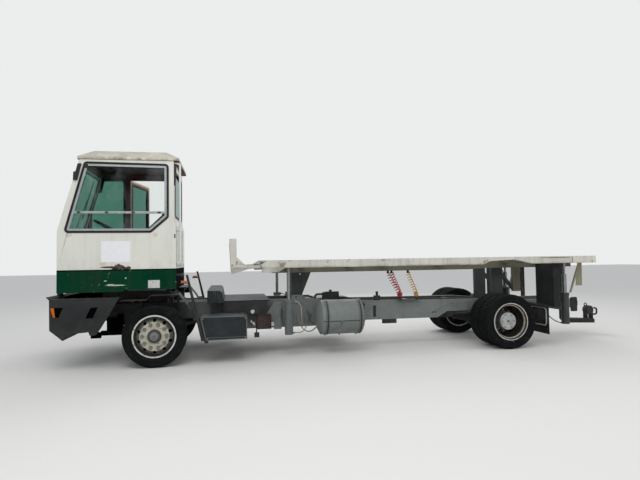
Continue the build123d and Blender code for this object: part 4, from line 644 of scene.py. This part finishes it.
def add_block(bm, x0, x1, y0, y1, z0, z1):
    corners = [bm.verts.new(at(x, y, z)) for x in (x0, x1) for y in (y0, y1) for z in (z0, z1)]
    for face in ((0, 1, 3, 2), (4, 6, 7, 5), (0, 4, 5, 1), (2, 3, 7, 6), (0, 2, 6, 4), (1, 5, 7, 3)):
        bm.faces.new([corners[i] for i in face])


def add_prism(bm, low, high):
    """A solid between two matching outlines of points."""
    a, b = [bm.verts.new(p) for p in low], [bm.verts.new(p) for p in high]
    bm.faces.new(a[::-1])
    bm.faces.new(b)
    for i in range(len(a)):
        j = (i + 1) % len(a)
        bm.faces.new((a[i], a[j], b[j], b[i]))


def add_slab(bm, outline, put, low, high):
    """A prism of an outline that put places at two depths."""
    add_prism(bm, *([put(u, v, d) for u, v in outline] for d in (low, high)))


def add_side_plate(bm, outline, y0, y1):
    add_slab(bm, outline, lambda x, z, y: at(x, y, z), y0, y1)


def rectangle(u0, u1, v0, v1):
    return [(u0, v0), (u1, v0), (u1, v1), (u0, v1)]


def ring_frame(axis):
    """Two directions square to an axis."""
    axis = axis.normalized()
    side = axis.orthogonal().normalized()
    return side, axis.cross(side)


def add_lathe(bm, foot, axis, profile, count=32):
    """Turns (radius, height) points, in millimetres, about an axis from its foot."""
    side, other = ring_frame(axis)
    axis = axis.normalized()
    rings = []
    for radius, height in profile:
        centre = foot + axis * height / 1000
        if radius == 0:
            rings.append([bm.verts.new(centre)])
            continue
        turns = [2 * math.pi * i / count for i in range(count)]
        rings.append([bm.verts.new(centre + (side * math.cos(t) + other * math.sin(t)) * radius / 1000)
                      for t in turns])
    for a, b in zip(rings, rings[1:]):
        for i in range(count):
            j = (i + 1) % count
            if len(a) == 1:
                bm.faces.new((a[0], b[i], b[j]))
            elif len(b) == 1:
                bm.faces.new((a[i], a[j], b[0]))
            else:
                bm.faces.new((a[i], a[j], b[j], b[i]))


def add_rod(bm, start, end, radius, count=16):
    length = (end - start).length * 1000
    add_lathe(bm, start, end - start, [(0, 0), (radius, 0), (radius, length), (0, length)], count)


def add_bolt(bm, foot, axis, radius, height):
    """A hexagon head on a washer."""
    axis = axis.normalized()
    add_lathe(bm, foot, axis, [(0, 0), (radius * 1.35, 0), (radius * 1.35, 2.5), (0, 2.5)], 16)
    head = [(0, 0), (radius, 0), (radius, height * 0.85), (radius * 0.85, height), (0, height)]
    add_lathe(bm, foot + axis * 0.0025, axis, head, 6)


def nurbs_curve(name, points, resolution):
    curve = bpy.data.curves.new(name, "CURVE")
    curve.dimensions = "3D"
    spline = curve.splines.new("NURBS")
    spline.points.add(len(points) - 1)
    for point, place in zip(spline.points, points):
        point.co = (*place, 1)
    spline.order_u = 3
    spline.use_endpoint_u = True
    spline.resolution_u = resolution
    return curve


def curve_mesh(name, curve):
    source = bpy.data.objects.new(name, curve)
    mesh = bpy.data.meshes.new_from_object(source)
    bpy.data.objects.remove(source)
    return mesh


def tube(name, points, radius, key, body, slot=None):
    """A bent pipe or hose on one smooth line through a few points."""
    curve = nurbs_curve(name, points, 8)
    curve.bevel_depth = radius / 1000
    curve.bevel_resolution = 3
    mesh = curve_mesh(name + "_line", curve)
    mesh.name = name
    mesh.materials.clear()
    return finish_piece(name, mesh, key, body, slot=slot, smooth=60)


# Air hoses between the chassis and the lift frame

HOSE_R = 40                # outer radius of the coils
HOSE_TUBE_R = 7
HOSE_FOOT = 830
HOSE_HEAD = 1294.7
HOSE_RUN = 70
# name: x and y of the foot, x and y of the head, turns, finish
HOSES = {
    "hose_red_front": (3935, -470, 3705, -530, 13, "hose_red"),
    "hose_red_rear": (3975, -385, 3800, -440, 13, "hose_red"),
    "hose_yellow": (4235, -470, 4062, -530, 13, "hose_yellow"),
}
TURN_POINTS = 14
BUNCHED = 0.35             # share of the turns that lie close together at the foot
BUNCH_SHARE = 0.12         # share of the height that they take


def nurbs_line(name, points):
    """The points that a NURBS spline with these control points follows."""
    mesh = curve_mesh(name, nurbs_curve(name, points, 6))
    return [v.co.copy() for v in mesh.vertices]


def point_along(line, share):
    """Place and direction at a share of a line's length."""
    lengths = [0.0]
    for a, b in zip(line, line[1:]):
        lengths.append(lengths[-1] + (b - a).length)
    goal = share * lengths[-1]
    for i in range(len(line) - 1):
        if lengths[i + 1] >= goal or i == len(line) - 2:
            part = (goal - lengths[i]) / max(lengths[i + 1] - lengths[i], 1e-9)
            return line[i].lerp(line[i + 1], part), (line[i + 1] - line[i]).normalized()


def line_length(line):
    return sum((b - a).length for a, b in zip(line, line[1:]))


def make_hose(name, x0, y0, x1, y1, turns, key):
    route = nurbs_line(name + "_route", [at(x0, y0, HOSE_FOOT), at(x0, y0, HOSE_FOOT + HOSE_RUN),
                                         at(x1, y1, HOSE_HEAD - HOSE_RUN), at(x1, y1, HOSE_HEAD)])
    coil_r = (HOSE_R - HOSE_TUBE_R) / 1000
    points = [route[0], route[0] + (route[1] - route[0]).normalized() * 0.012]
    count = turns * TURN_POINTS
    for i in range(count + 1):
        share = i / count
        if share < BUNCHED:
            rise = BUNCH_SHARE * share / BUNCHED
        else:
            rise = BUNCH_SHARE + (1 - BUNCH_SHARE) * (share - BUNCHED) / (1 - BUNCHED)
        place, along = point_along(route, 0.05 + 0.9 * rise)
        side = along.cross(Vector((0, 1, 0))).normalized()
        other = along.cross(side)
        turn = 2 * math.pi * i / TURN_POINTS
        grow = min(1.0, i / 6, (count - i) / 6)
        points.append(place + (side * math.cos(turn) + other * math.sin(turn)) * coil_r * max(grow, 0.15))
    points += [route[-1] - (route[-1] - route[-2]).normalized() * 0.012, route[-1]]
    line = nurbs_line(name + "_helix", points)
    hose = tube(name + "_coil", points, HOSE_TUBE_R, key, "chassis", slot=key)
    hose.parent = None
    del hose["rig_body"]
    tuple(route[0])
    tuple(route[-1])
    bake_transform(hose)
    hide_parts(name)
    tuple(route[0])
    line_length(line)


for hose_name, hose_row in HOSES.items():
    make_hose(hose_name, *hose_row)


# Cab windows: black seals, aluminium frames and the left window's bar

def rounded(corners, radius, steps=6):
    """A convex outline with its corners rounded."""
    made = []
    count = len(corners)
    for i, corner in enumerate(corners):
        here, before, after = Vector(corner), Vector(corners[i - 1]), Vector(corners[(i + 1) % count])
        a, b = (before - here).normalized(), (after - here).normalized()
        half = a.angle(b) / 2
        middle = here + (a + b).normalized() * radius / math.sin(half)
        start = here + a * radius / math.tan(half) - middle
        end = here + b * radius / math.tan(half) - middle
        for step in range(steps + 1):
            made.append(middle + start.lerp(end, step / steps).normalized() * radius)
    return made


def inset(corners, distance):
    """A convex outline moved inwards by a distance."""
    middle = sum((Vector(c) for c in corners), Vector((0, 0))) / len(corners)
    lines = []
    for i, corner in enumerate(corners):
        a, b = Vector(corner), Vector(corners[(i + 1) % len(corners)])
        normal = Vector((a.y - b.y, b.x - a.x)).normalized()
        if (middle - a).dot(normal) < 0:
            normal = -normal
        lines.append((a + normal * distance, (b - a).normalized()))
    made = []
    for i in range(len(lines)):
        (p, d), (q, e) = lines[i - 1], lines[i]
        t = ((q - p).x * e.y - (q - p).y * e.x) / (d.x * e.y - d.y * e.x)
        made.append(tuple(p + d * t))
    return made


def add_band(bm, corners, radius, outside, inside, put, near, far):
    """A closed band between two insets of an outline, from depth near to depth far."""
    outer = rounded(inset(corners, outside), max(radius - outside, 4))
    inner = rounded(inset(corners, inside), max(radius - inside, 4))
    loops = [[bm.verts.new(put(p.x, p.y, d)) for p in line] for line, d in
             ((outer, near), (outer, far), (inner, far), (inner, near))]
    for a, b in zip(loops, loops[1:] + loops[:1]):
        for i in range(len(a)):
            j = (i + 1) % len(a)
            bm.faces.new((a[i], a[j], b[j], b[i]))


LEFT_WINDOW = [(-938, 2925), (195, 2912), (195, 2145), (-48, 1928), (-1205, 1928)]
RIGHT_WINDOW = [(-1050, 2880), (-660, 2880), (-660, 2000), (-1190, 2000), (-1190, 2330)]
REAR_WINDOW = rectangle(-1013.7, -16.3, 2160, 2848)
SCREEN_HALF_W = 549
SCREEN_RUN = math.hypot(CAB_TOP_FRONT - CAB_FRONT, CAB_TOP - CAB_KNEE_Z)
SCREEN = rectangle(-SCREEN_HALF_W, SCREEN_HALF_W, 40, SCREEN_RUN - 110)      # up the slope
SCREEN_Y = (CAB_LEFT + CAB_RIGHT) / 2


def on_screen(u, v, d):
    slope = Vector((CAB_TOP_FRONT - CAB_FRONT, CAB_TOP - CAB_KNEE_Z)).normalized()
    return at(CAB_FRONT + slope.x * v - slope.y * d, SCREEN_Y + u, CAB_KNEE_Z + slope.y * v + slope.x * d)


# name, corners, corner radius, placing by (along, up, outwards), second frame inside the seal
WINDOWS = [
    ("left_window", LEFT_WINDOW, 45, lambda u, v, d: at(u, CAB_LEFT - d, v), True),
    ("right_window", RIGHT_WINDOW, 60, lambda u, v, d: at(u, CAB_RIGHT + d, v), False),
    ("rear_window", REAR_WINDOW, 70, lambda u, v, d: at(CAB_REAR_UPPER + d, u, v), False),
    ("screen", SCREEN, 70, on_screen, False),
]

for name, corners, radius, put, framed in WINDOWS:
    piece_of(name + "_seal", "seal", "cab", add_band, [(corners, radius, -7, 22, put, -8, 9)], rounding=3)
    if framed:
        band = (corners, radius, 24, 54, put, -8, 5)
        piece_of(name + "_frame", "aluminium", "cab", add_band, [band], rounding=2)

WINDOW_BAR_Z = (2196, 2230)
WINDOW_BAR_X = (-1095, 145)
CLIP_X = (-1014, -644, -288, 68)
BAR_MIDDLE_Z = sum(WINDOW_BAR_Z) / 2
piece_of("left_window_bar", "aluminium", "cab", add_block,
         [(*WINDOW_BAR_X, CAB_LEFT - 3, CAB_LEFT + 9, *WINDOW_BAR_Z)], rounding=3)
piece_of("left_window_clips", "trim_black", "cab", add_block, [
    *((x - 22, x + 22, CAB_LEFT - 12, CAB_LEFT - 2, BAR_MIDDLE_Z - 12, BAR_MIDDLE_Z + 12) for x in CLIP_X),
    (-938, -892, CAB_LEFT - 14, CAB_LEFT - 2, 2838, 2896)], rounding=3)


# Wheels: tyres with tread and ribbed walls, studs, caps and valves

def tyre_profile(ribs, groove):
    """(radius, offset) points over a tyre, from bead to bead, with grooves between its ribs."""
    half, tread_half = TYRE_W / 2, TYRE_W / 2 - 30
    wall = [(285, -108), (305, -112), (318, -128), (335, -135), (340, -139), (346, -139.5), (349, -137),
            (372, -141.5), (400, -141), (403, -143), (412, -142.5), (424, -136), (434, -129)]
    tread = []
    width = 2 * tread_half / ribs
    for i in range(ribs):
        y = -tread_half + i * width
        crown = 1.5 * ((y + width / 2) / tread_half) ** 2
        edge = TYRE_R - crown
        tread += [(edge, y + (8 if i else 0)), (edge, y + width - 8)]
        if i < ribs - 1:
            tread += [(edge - groove, y + width - 6), (edge - groove, y + width + 6)]
    mirrored = [(r, -y) for r, y in reversed(wall)]
    return wall + tread + mirrored


TREAD_STEPS = 150


def add_tyre(bm, centre, outward, ribs, groove, block_cut):
    """A tyre about the y axis. block_cut is how deep the cross grooves in the ribs are."""
    profile = tyre_profile(ribs, groove)
    loops = []
    for step in range(TREAD_STEPS):
        turn = 2 * math.pi * step / TREAD_STEPS
        loop = []
        for index, (radius, offset) in enumerate(profile):
            top = radius > TYRE_R - 4
            cut = block_cut if top and step % 3 == 0 else 0
            shift = 0.35 * (offset / TYRE_W) if top else 0
            t = turn + shift * 2 * math.pi / TREAD_STEPS * 3
            r = radius - cut
            place = Vector((math.cos(t) * r, offset * outward, math.sin(t) * r))
            loop.append(bm.verts.new(centre + place / 1000))
        loops.append(loop)
    for i in range(TREAD_STEPS):
        a, b = loops[i], loops[(i + 1) % TREAD_STEPS]
        for j in range(len(profile) - 1):
            bm.faces.new((a[j], a[j + 1], b[j + 1], b[j]))
        bm.faces.new((a[-1], a[0], b[0], b[-1]))


STUD_COUNT = 10
STUD_CIRCLE_R = 167.5
FRONT_FACE = 96            # of the front disc, outwards from the rim's middle
CAP_FACE = FRONT_FACE + 28
REAR_FACE = 14 - DUAL_PITCH / 2     # of the rear disc, from the outer rim's middle
COVER_FACE = TYRE_W / 2 - 105       # of the rear hub's cover
# lathed outlines as (radius, height)
WASHER = [(0, 0), (27, 0), (27, 2), (0, 2)]
FRONT_CAP = [(0, 0), (62, 0), (62, 8), (56, 14), (18, 18), (16, 10), (9, 10), (8, 16), (0, 17)]
DUST_SHIELD = [(140, 0), (264, 0), (264, 3), (140, 3), (140, 0)]
LOCK_RING = [(274, 60), (259, 62), (257, 74), (259, 86), (274, 90), (274, 60)]
HUB_PLUG = [(0, 0), (20, 0), (20, 6), (14, 9), (0, 9)]


def wheel_centre(x, y):
    return at(x, y, AXLE_Z)


def ring_feet(centre, outward, face, circle, count, phase=0.0):
    """Evenly spaced places on a circle about a wheel's axis."""
    turns = [2 * math.pi * (i + phase) / count for i in range(count)]
    return [centre + Vector((math.cos(t) * circle, outward * face, math.sin(t) * circle)) / 1000
            for t in turns]


def make_front_wheel(side, outward):
    body = "front_wheel_" + side
    centre, axis = wheel_centre(0, outward * WHEEL_Y), Vector((0, outward, 0))
    tread = piece_of(f"front_tread_{side}", "tyre", body, add_tyre, [(centre, outward, 5, 11, 0)],
                     slot="tyre")
    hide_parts(f"front_tyre_{side}")
    feet = ring_feet(centre, outward, FRONT_FACE, STUD_CIRCLE_R, STUD_COUNT)
    washers = [(foot, axis, WASHER, 20) for foot in feet]
    piece_of(f"front_washers_{side}", "black_steel", body, add_lathe, washers)
    feet = ring_feet(centre, outward, FRONT_FACE + 2, STUD_CIRCLE_R, STUD_COUNT)
    piece_of(f"front_nuts_{side}", "bolt", body, add_bolt, [(foot, axis, 17, 26) for foot in feet])
    foot = centre + axis * CAP_FACE / 1000
    piece_of(f"front_cap_{side}", "tank_grey", body, add_lathe, [(foot, axis, FRONT_CAP, 40)], smooth=50)
    valve = (centre + Vector((0.2, outward * 0.09, 0.12)), centre + Vector((0.215, outward * 0.13, 0.13)), 5)
    piece_of(f"front_valve_{side}", "trim_black", body, add_rod, [valve])
    shield = (centre + axis * 0.02, axis, DUST_SHIELD, 48)
    piece_of(f"front_dust_shield_{side}", "shadow_black", body, add_lathe, [shield])


def make_rear_wheels(side, outward):
    body = "rear_wheels_" + side
    centre, axis = wheel_centre(WHEELBASE, outward * WHEEL_Y), Vector((0, outward, 0))
    treads = [(wheel_centre(WHEELBASE, outward * y), outward, 4, 14, 10)
              for y in (WHEEL_Y, WHEEL_Y - DUAL_PITCH)]
    made = piece_of(f"rear_treads_{side}", "tyre", body, add_tyre, treads, slot="tyre")
    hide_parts(f"rear_tyres_{side}")
    nuts = [(foot, axis, 9, 10) for foot in ring_feet(centre, outward, COVER_FACE, 112, 6)]
    nuts += [(foot, axis, 17, 34)
             for foot in ring_feet(centre, outward, REAR_FACE, STUD_CIRCLE_R + 8, STUD_COUNT, 0.5)]
    piece_of(f"rear_nuts_{side}", "bolt", body, add_bolt, nuts)
    lock = (centre, axis, LOCK_RING, 96)
    piece_of(f"rear_lock_ring_{side}", "cream_steel", body, add_lathe, [lock], smooth=60)
    bm = bmesh.new()
    add_lathe(bm, centre + axis * COVER_FACE / 1000, axis, HUB_PLUG, 24)
    add_rod(bm, at(WHEELBASE + 14, outward * 1190, 148), at(WHEELBASE + 18, outward * 1216, 118), 6)
    piece_from(bm, f"rear_hub_plug_{side}", "worn_edge", body)


for side_name, outward_sign in SIDES.items():
    make_front_wheel(side_name, outward_sign)
    make_rear_wheels(side_name, outward_sign)


# Small fittings, as boxes of (x0, x1, y0, y1, z0, z1), rods of (start, end, radius) and bolts

def both_sides(boxes):
    return boxes + [(x0, x1, -y1, -y0, z0, z1) for x0, x1, y0, y1, z0, z1 in boxes]


LAMP_FACE = 7415
LENSES = {"red": (-404, -336), "amber": (-331, -276), "clear": (-271, -212)}      # y0, y1 on the left
COOLER = (1480, 1700, -740, 424, 650)      # x0, x1, outer y, z0, z1
CHEEK_BACK = -1222          # inner face of the bumper's side plates
HOSE_HEADS = [row[2:4] for row in HOSES.values()]
# name: finish, body, rounding, boxes
FITTINGS = {
    "side_plate_bare": ("blank_plate", "cab", 0, [(-715, -325, CAB_LEFT - 2, CAB_LEFT, 1508, 1803)]),
    "data_plate_bare": ("silver", "cab", 0, [(-86, 74, CAB_LEFT - 2, CAB_LEFT, 1130, 1242)]),
    "rear_edge_latch": ("trim_black", "cab", 2, [(276, 292, CAB_LEFT - 6, CAB_LEFT + 4, 1846, 1900)]),
    "handrail_foot": ("trim_black", "cab", 4, [(CAB_REAR, 376, -1150, -1104, 1300, 1324)]),
    "rear_clips": ("trim_black", "cab", 3, [
        (CAB_REAR_UPPER, 306, -1160, -1138, 2730, 2925), (CAB_REAR_UPPER, 296, -1152, -1130, 2610, 2730)]),
    "box_fittings": ("silver", "chassis", 2, [
        (1380, 1402, -724, -720, 530, 562), (1406, 1440, -726, -720, 506, 536),
        (1426, 1450, -724, -720, 486, 504)]),
    "bracket_tag": ("blank_plate", "chassis", 2, [(1712, 1756, -606, -600, 446, 512)]),
    "hanging_box": ("trim_black", "chassis", 4, [
        (1436, 1512, -728, -690, 296, 372), (1462, 1480, -712, -698, 372, 645)]),
    "cooler_core": ("trim_black", "chassis", 0, [(COOLER[0] + 8, COOLER[1] - 8, -743, -740, 436, 640)]),
    "cooler_bars": ("oxide", "chassis", 1, [
        (COOLER[0] + 22 + 40 * i, COOLER[0] + 40 + 40 * i, -747, -742, 440, 636) for i in range(5)]),
    "cooler_frame": ("trim_black", "chassis", 1, [
        (COOLER[0], COOLER[1], -748, -740, 424, 434), (COOLER[0], COOLER[1], -748, -740, 640, 650),
        (COOLER[0], COOLER[0] + 8, -748, -740, 434, 640), (COOLER[1] - 8, COOLER[1], -748, -740, 434, 640)]),
    # Painted shade: thin black sheets on the inner faces of the bumper's side plates, where they lie in
    # shadow
    "cheek_shade_sheets": ("shadow_black", "chassis", 0, both_sides([
        (-1316, -1166, CHEEK_BACK, CHEEK_BACK + 4, 752, 906),
        (-918, -726, CHEEK_BACK, CHEEK_BACK + 4, 722, 896)])),
    "steering_gear": ("shadow_black", "chassis", 6, [
        (-880, -560, -500, -440, 388, 460), (-1025, -879, -500, -440, 350, 440),
        (-650, -560, -480, -431, 440, 700), (-800, -640, -476, -436, 450, 650)]),
    # Painted shade: a black sheet behind the bumper, filling the shadow there
    "bumper_shade_sheet": ("shadow_black", "chassis", 0, [(-1196, -1190, -1130, 1130, 880, 1036)]),
    "tank_guard": ("trim_black", "chassis", 0, [(2474, 3124, -1073, -1066, 541, 549)]),
    "tank_valve": ("worn_edge", "chassis", 2, [
        (2738, 2784, -1090, -1070, 530, 552), (2753, 2769, -1084, -1066, 502, 530)]),
    "post_clamps": ("rusty", "lift", 3, both_sides([(6300, 6388, -341, -318, 876, 932)])),
    "rear_channels": ("black_steel", "lift", 3, both_sides([(6918, 6984, -610, -560, 640, 1395)])),
    "rail_slots": ("trim_black", "chassis", 0, both_sides([(3464, 3514, -432, -430, 512, 704)])),
    **{f"tail_lens_{tint}": ("lamp_" + tint, "chassis", 2, both_sides([
        (LAMP_FACE, LAMP_FACE + 3, *span, 590, 672)])) for tint, span in LENSES.items()},
    "fuel_straps": ("black_steel", "chassis", 2, [
        (x, x + 46, 1158, 1164, 350, 770) for x in (2560, 3040)]),
}
# name: finish, body, rods
RODS = {
    "box_cap": ("silver", "chassis", [((1410, -712, 702), (1410, -738, 702), 30)]),
    "handrail_roller": ("trim_black", "cab", [((384, -1168, 1312), (384, -1096, 1312), 24)]),
    "roof_stud": ("roof_white", "cab", [
        ((-530, -900, 3112), (-530, -900, 3132), 26), ((-530, -900, 3132), (-530, -900, 3140), 14)]),
    "hose_couplings": ("trim_black", "lift", [((x, y, 1246), (x, y, 1294), 19) for x, y in HOSE_HEADS]),
    "fuel_cap": ("trim_black", "chassis", [((2470, 960, 780), (2470, 960, 812), 48)]),
    "spring_bolts": ("black_steel", "chassis", [
        ((x + dx, s * (390 + dy), z0), (x + dx, s * (390 + dy), z1), 9)
        for x, reach, z0, z1 in ((0, 56, 344, 536), (WHEELBASE, 84, 366, 562))
        for dx in (-reach, reach) for dy in (-46, 46) for s in (-1, 1)]),
}
# x, lower and upper z of each group of four
WEB_BOLTS = [(-1080, 715, 795), (1560, 730, 810), (3420, 680, 735), (4250, 665, 725), (4940, 650, 710),
             (6480, 605, 655)]
# name: finish, body, radius, height, places on the left; each has its twin on the right
SIDE_BOLTS = {
    "bracket_bolts": ("bolt", "chassis", 11, 9, [
        (1850, -600, 440), (1850, -600, 620), (1850, -600, 800), (1785, -600, 620), (1785, -600, 430)]),
    "guide_bolts": ("bolt", "chassis", 10, 8, [(2085, -443, 808), (2240, -443, 808), (2240, -443, 900)]),
    "web_bolts": ("bolt", "chassis", 9, 7, [
        (x + dx, -430, z) for x, z0, z1 in WEB_BOLTS for dx in (-28, 28) for z in (z0, z1)]),
    "flitch_bolts": ("chassis_grey", "chassis", 9, 7, [
        (x, -436, z) for x in (5060, 5180, 5300, 5420, 5540, 5660) for z in (596, 706)]),
    "column_bolts": ("silver", "lift", 12, 9, [(2226, -340, 1263)]),
    "box_bolts": ("bolt", "chassis", 7, 5, [
        (672, -1216, 668), (1282, -1216, 664), (1282, -1216, 384), (738, -1216, 384)]),
}


def make_fittings():
    for name, (key, body, rounding, boxes) in FITTINGS.items():
        piece_of(name, key, body, add_block, boxes, rounding=rounding)
    for name, (key, body, rods) in RODS.items():
        rows = [(at(*start), at(*end), radius, 24) for start, end, radius in rods]
        piece_of(name, key, body, add_rod, rows)
    for name, (key, body, radius, height, places) in SIDE_BOLTS.items():
        piece_of(name, key, body, add_bolt, [
            (at(x, s * y, z), Vector((0, -s, 0)), radius, height) for x, y, z in places for s in (1, -1)])


def make_step_trim():
    """A raised rim round the step boxes' faces and slanted grips on their tops."""
    bm = bmesh.new()
    bars = [
        [(636, 700), (650, 700), (726, 352), (712, 352)],
        [(712, 352), (1306, 360), (1306, 372), (709, 364)],
        [(636, 700), (1306, 694), (1306, 682), (639, 688)],
        [(1294, 694), (1306, 694), (1306, 360), (1294, 360)],
        [(704, 390), (1300, 392), (1300, 398), (703, 396)],
    ]
    for bar in bars:
        for s in (-1, 1):
            add_side_plate(bm, bar, s * 1219, s * 1215.5)
    for i in range(14):
        x = 652 + 42 * i
        z = 700 - (x - 636) * 6 / 670
        for s in (-1, 1):
            corners = ((x, 1213), (x + 18, 1213), (x + 78, 800), (x + 60, 800))
            add_prism(bm, *([at(u, s * v, z + dz) for u, v in corners] for dz in (-2, 3)))
    piece_from(bm, "step_trim", "worn_edge", "chassis")


def make_front_flaps():
    """Rubber behind the front wheels, along the step boxes' slanted edges."""
    outline = [(604, 655), (648, 655), (722, 352), (752, 350), (748, 318), (700, 314)]
    sides = [(outline, s * 1210, s * 1200) for s in (-1, 1)]
    piece_of("front_flaps", "flap_rubber", "chassis", add_side_plate, sides)


# name, finish, x of the foot, outline
HEADLAMPS = [
    ("headlamp_rings", "trim_black", -1370, [(0, 0), (92, 0), (92, 6), (84, 9), (0, 9)]),
    ("headlamp_lenses", "lamp_clear", -1379, [(0, 0), (78, 0), (72, 8), (50, 14), (0, 17)]),
]


def make_headlamps():
    for name, key, x, profile in HEADLAMPS:
        rows = [(at(x, y, 800), Vector((-1, 0, 0)), profile, 40) for y in (-1010, -760, 760, 1010)]
        piece_of(name, key, "chassis", add_lathe, rows, smooth=50)


def make_wipers():
    bm = bmesh.new()
    for u in (-330, 160):
        add_rod(bm, on_screen(u, 14, -2), on_screen(u, 14, 20), 14)
        add_rod(bm, on_screen(u, 14, 14), on_screen(u + 110, 560, 6), 6)
        add_slab(bm, rectangle(u + 104, u + 116, 250, 870), on_screen, -12, 2)
    piece_from(bm, "wipers", "trim_black", "cab")


def on_door(u, v, d):
    """A place on the door: along it and up from the closed place's x and z, and outwards from its face."""
    away = Vector((u - DOOR_HINGE[0], DOOR_FACE + d - DOOR_HINGE[1], 0))
    away.rotate(Matrix.Rotation(DOOR_OPEN, 3, "Z"))
    return at(DOOR_HINGE[0] + away.x, DOOR_HINGE[1] + away.y, v)


DOOR_FACE = 184
DOOR_T = 38
DOOR_PANE = rectangle(-515, 207, 1960, 2822)
INNER_GRIP = (-DOOR_T - 30, -DOOR_T - 18)
INNER_POST = (-DOOR_T - 18, -DOOR_T)
# from and to along the door, up and outwards: the outer handle's plate, post and grip, and the inner
# grip and its posts
DOOR_HANDLES = [
    (190, 244, 1690, 1760, 0, 4), (196, 214, 1702, 1748, 4, 22), (196, 238, 1736, 1748, 16, 24),
    (80, 180, 1650, 1664, *INNER_GRIP), (80, 92, 1650, 1664, *INNER_POST),
    (168, 180, 1650, 1664, *INNER_POST)]


def make_door_trim():
    faces = (on_door, lambda u, v, d: on_door(u, v, -DOOR_T - d))
    seals = [(DOOR_PANE, 30, -8, 16, put, 4, -8) for put in faces]
    piece_of("door_seals", "seal", "door", add_band, seals)
    handles = [(rectangle(*box[:4]), on_door, *box[4:]) for box in DOOR_HANDLES]
    piece_of("door_handles", "trim_black", "door", add_slab, handles, rounding=2)


def make_seat_trim():
    """The seat's bolster, beside and behind its cushion."""
    wing = [(-190, 1545), (-165, 1990), (85, 2236), (145, 2240), (60, 1545)]
    back = [(-175, 1545), (-40, 1760), (20, 2060), (60, 2238), (150, 2243), (60, 1545)]
    plates = [(wing, -800, -790), (back, -790, -260)]
    piece_of("seat_trim", "seat_dark", "cab", add_side_plate, plates, rounding=6)


make_fittings()
make_step_trim()
make_front_flaps()
make_headlamps()
make_wipers()
make_door_trim()
make_seat_trim()
WIRE = [(2782, -1076, 520), (2768, -1058, 466), (2690, -1030, 412), (2590, -996, 380)]
POST_LOOP = [(6312, 900), (6312, 1190), (6316, 1232), (6342, 1240), (6368, 1232), (6372, 1190), (6372, 900)]
tube("tank_wire", [at(*place) for place in WIRE], 3, "worn_edge", "chassis")
for side_name, s in SIDES.items():
    tube("post_loop_" + side_name, [at(x, s * 337, z) for x, z in POST_LOOP], 8, "flap_frame", "lift")


# Floor, backdrop and lights

def make_stage():
    mesh = bpy.data.meshes.new("floor")
    half = 60
    corners = [(-half, -half, 0), (half, -half, 0), (half, half, 0), (-half, half, 0)]
    mesh.from_pydata(corners, [], [(0, 1, 2, 3)])
    floor = bpy.data.objects.new("floor", mesh)
    bpy.context.scene.collection.objects.link(floor)
    f = Finish("floor")
    mesh.materials.append(f.close("e0ddd7", 0.9))
    world = bpy.data.worlds.new("studio")
    world.use_nodes = True
    tree = world.node_tree
    light = tree.nodes["Background"]
    shown = tree.nodes.new("ShaderNodeBackground")
    for shader, color, strength in ((light, "e9eef5", 0.8), (shown, "eceded", 1.0)):
        shader.inputs[0].default_value = rgb(color)
        shader.inputs[1].default_value = strength
    path = tree.nodes.new("ShaderNodeLightPath")
    seen = tree.nodes.new("ShaderNodeMath")
    seen.operation = "MAXIMUM"
    mixed = tree.nodes.new("ShaderNodeMixShader")
    links = ((path.outputs["Is Camera Ray"], seen.inputs[0]),
             (path.outputs["Is Transmission Ray"], seen.inputs[1]),
             (seen.outputs[0], mixed.inputs[0]), (light.outputs[0], mixed.inputs[1]),
             (shown.outputs[0], mixed.inputs[2]), (mixed.outputs[0], tree.nodes["World Output"].inputs[0]))
    for source, target in links:
        tree.links.new(source, target)
    bpy.context.scene.world = world


# name, place, target, size in metres, strength in watts
LAMPS = [
    ("key", (-3, -7, 7.5), (0, 0, 1), 5, 290),
    ("fill", (6, -6, 5), (1, 0, 1), 6, 90),
    ("back", (2, 8, 7), (0, 0, 1.2), 6, 300),
]


def make_lamps():
    for name, place, target, size, power in LAMPS:
        data = bpy.data.lights.new(name, "AREA")
        data.size = size
        data.energy = power
        lamp = bpy.data.objects.new(name, data)
        lamp.location = place
        lamp.rotation_euler = (Vector(target) - Vector(place)).to_track_quat("-Z", "Y").to_euler()
        bpy.context.scene.collection.objects.link(lamp)


make_stage()
make_lamps()
bpy.context.scene.view_settings.view_transform = "Standard"
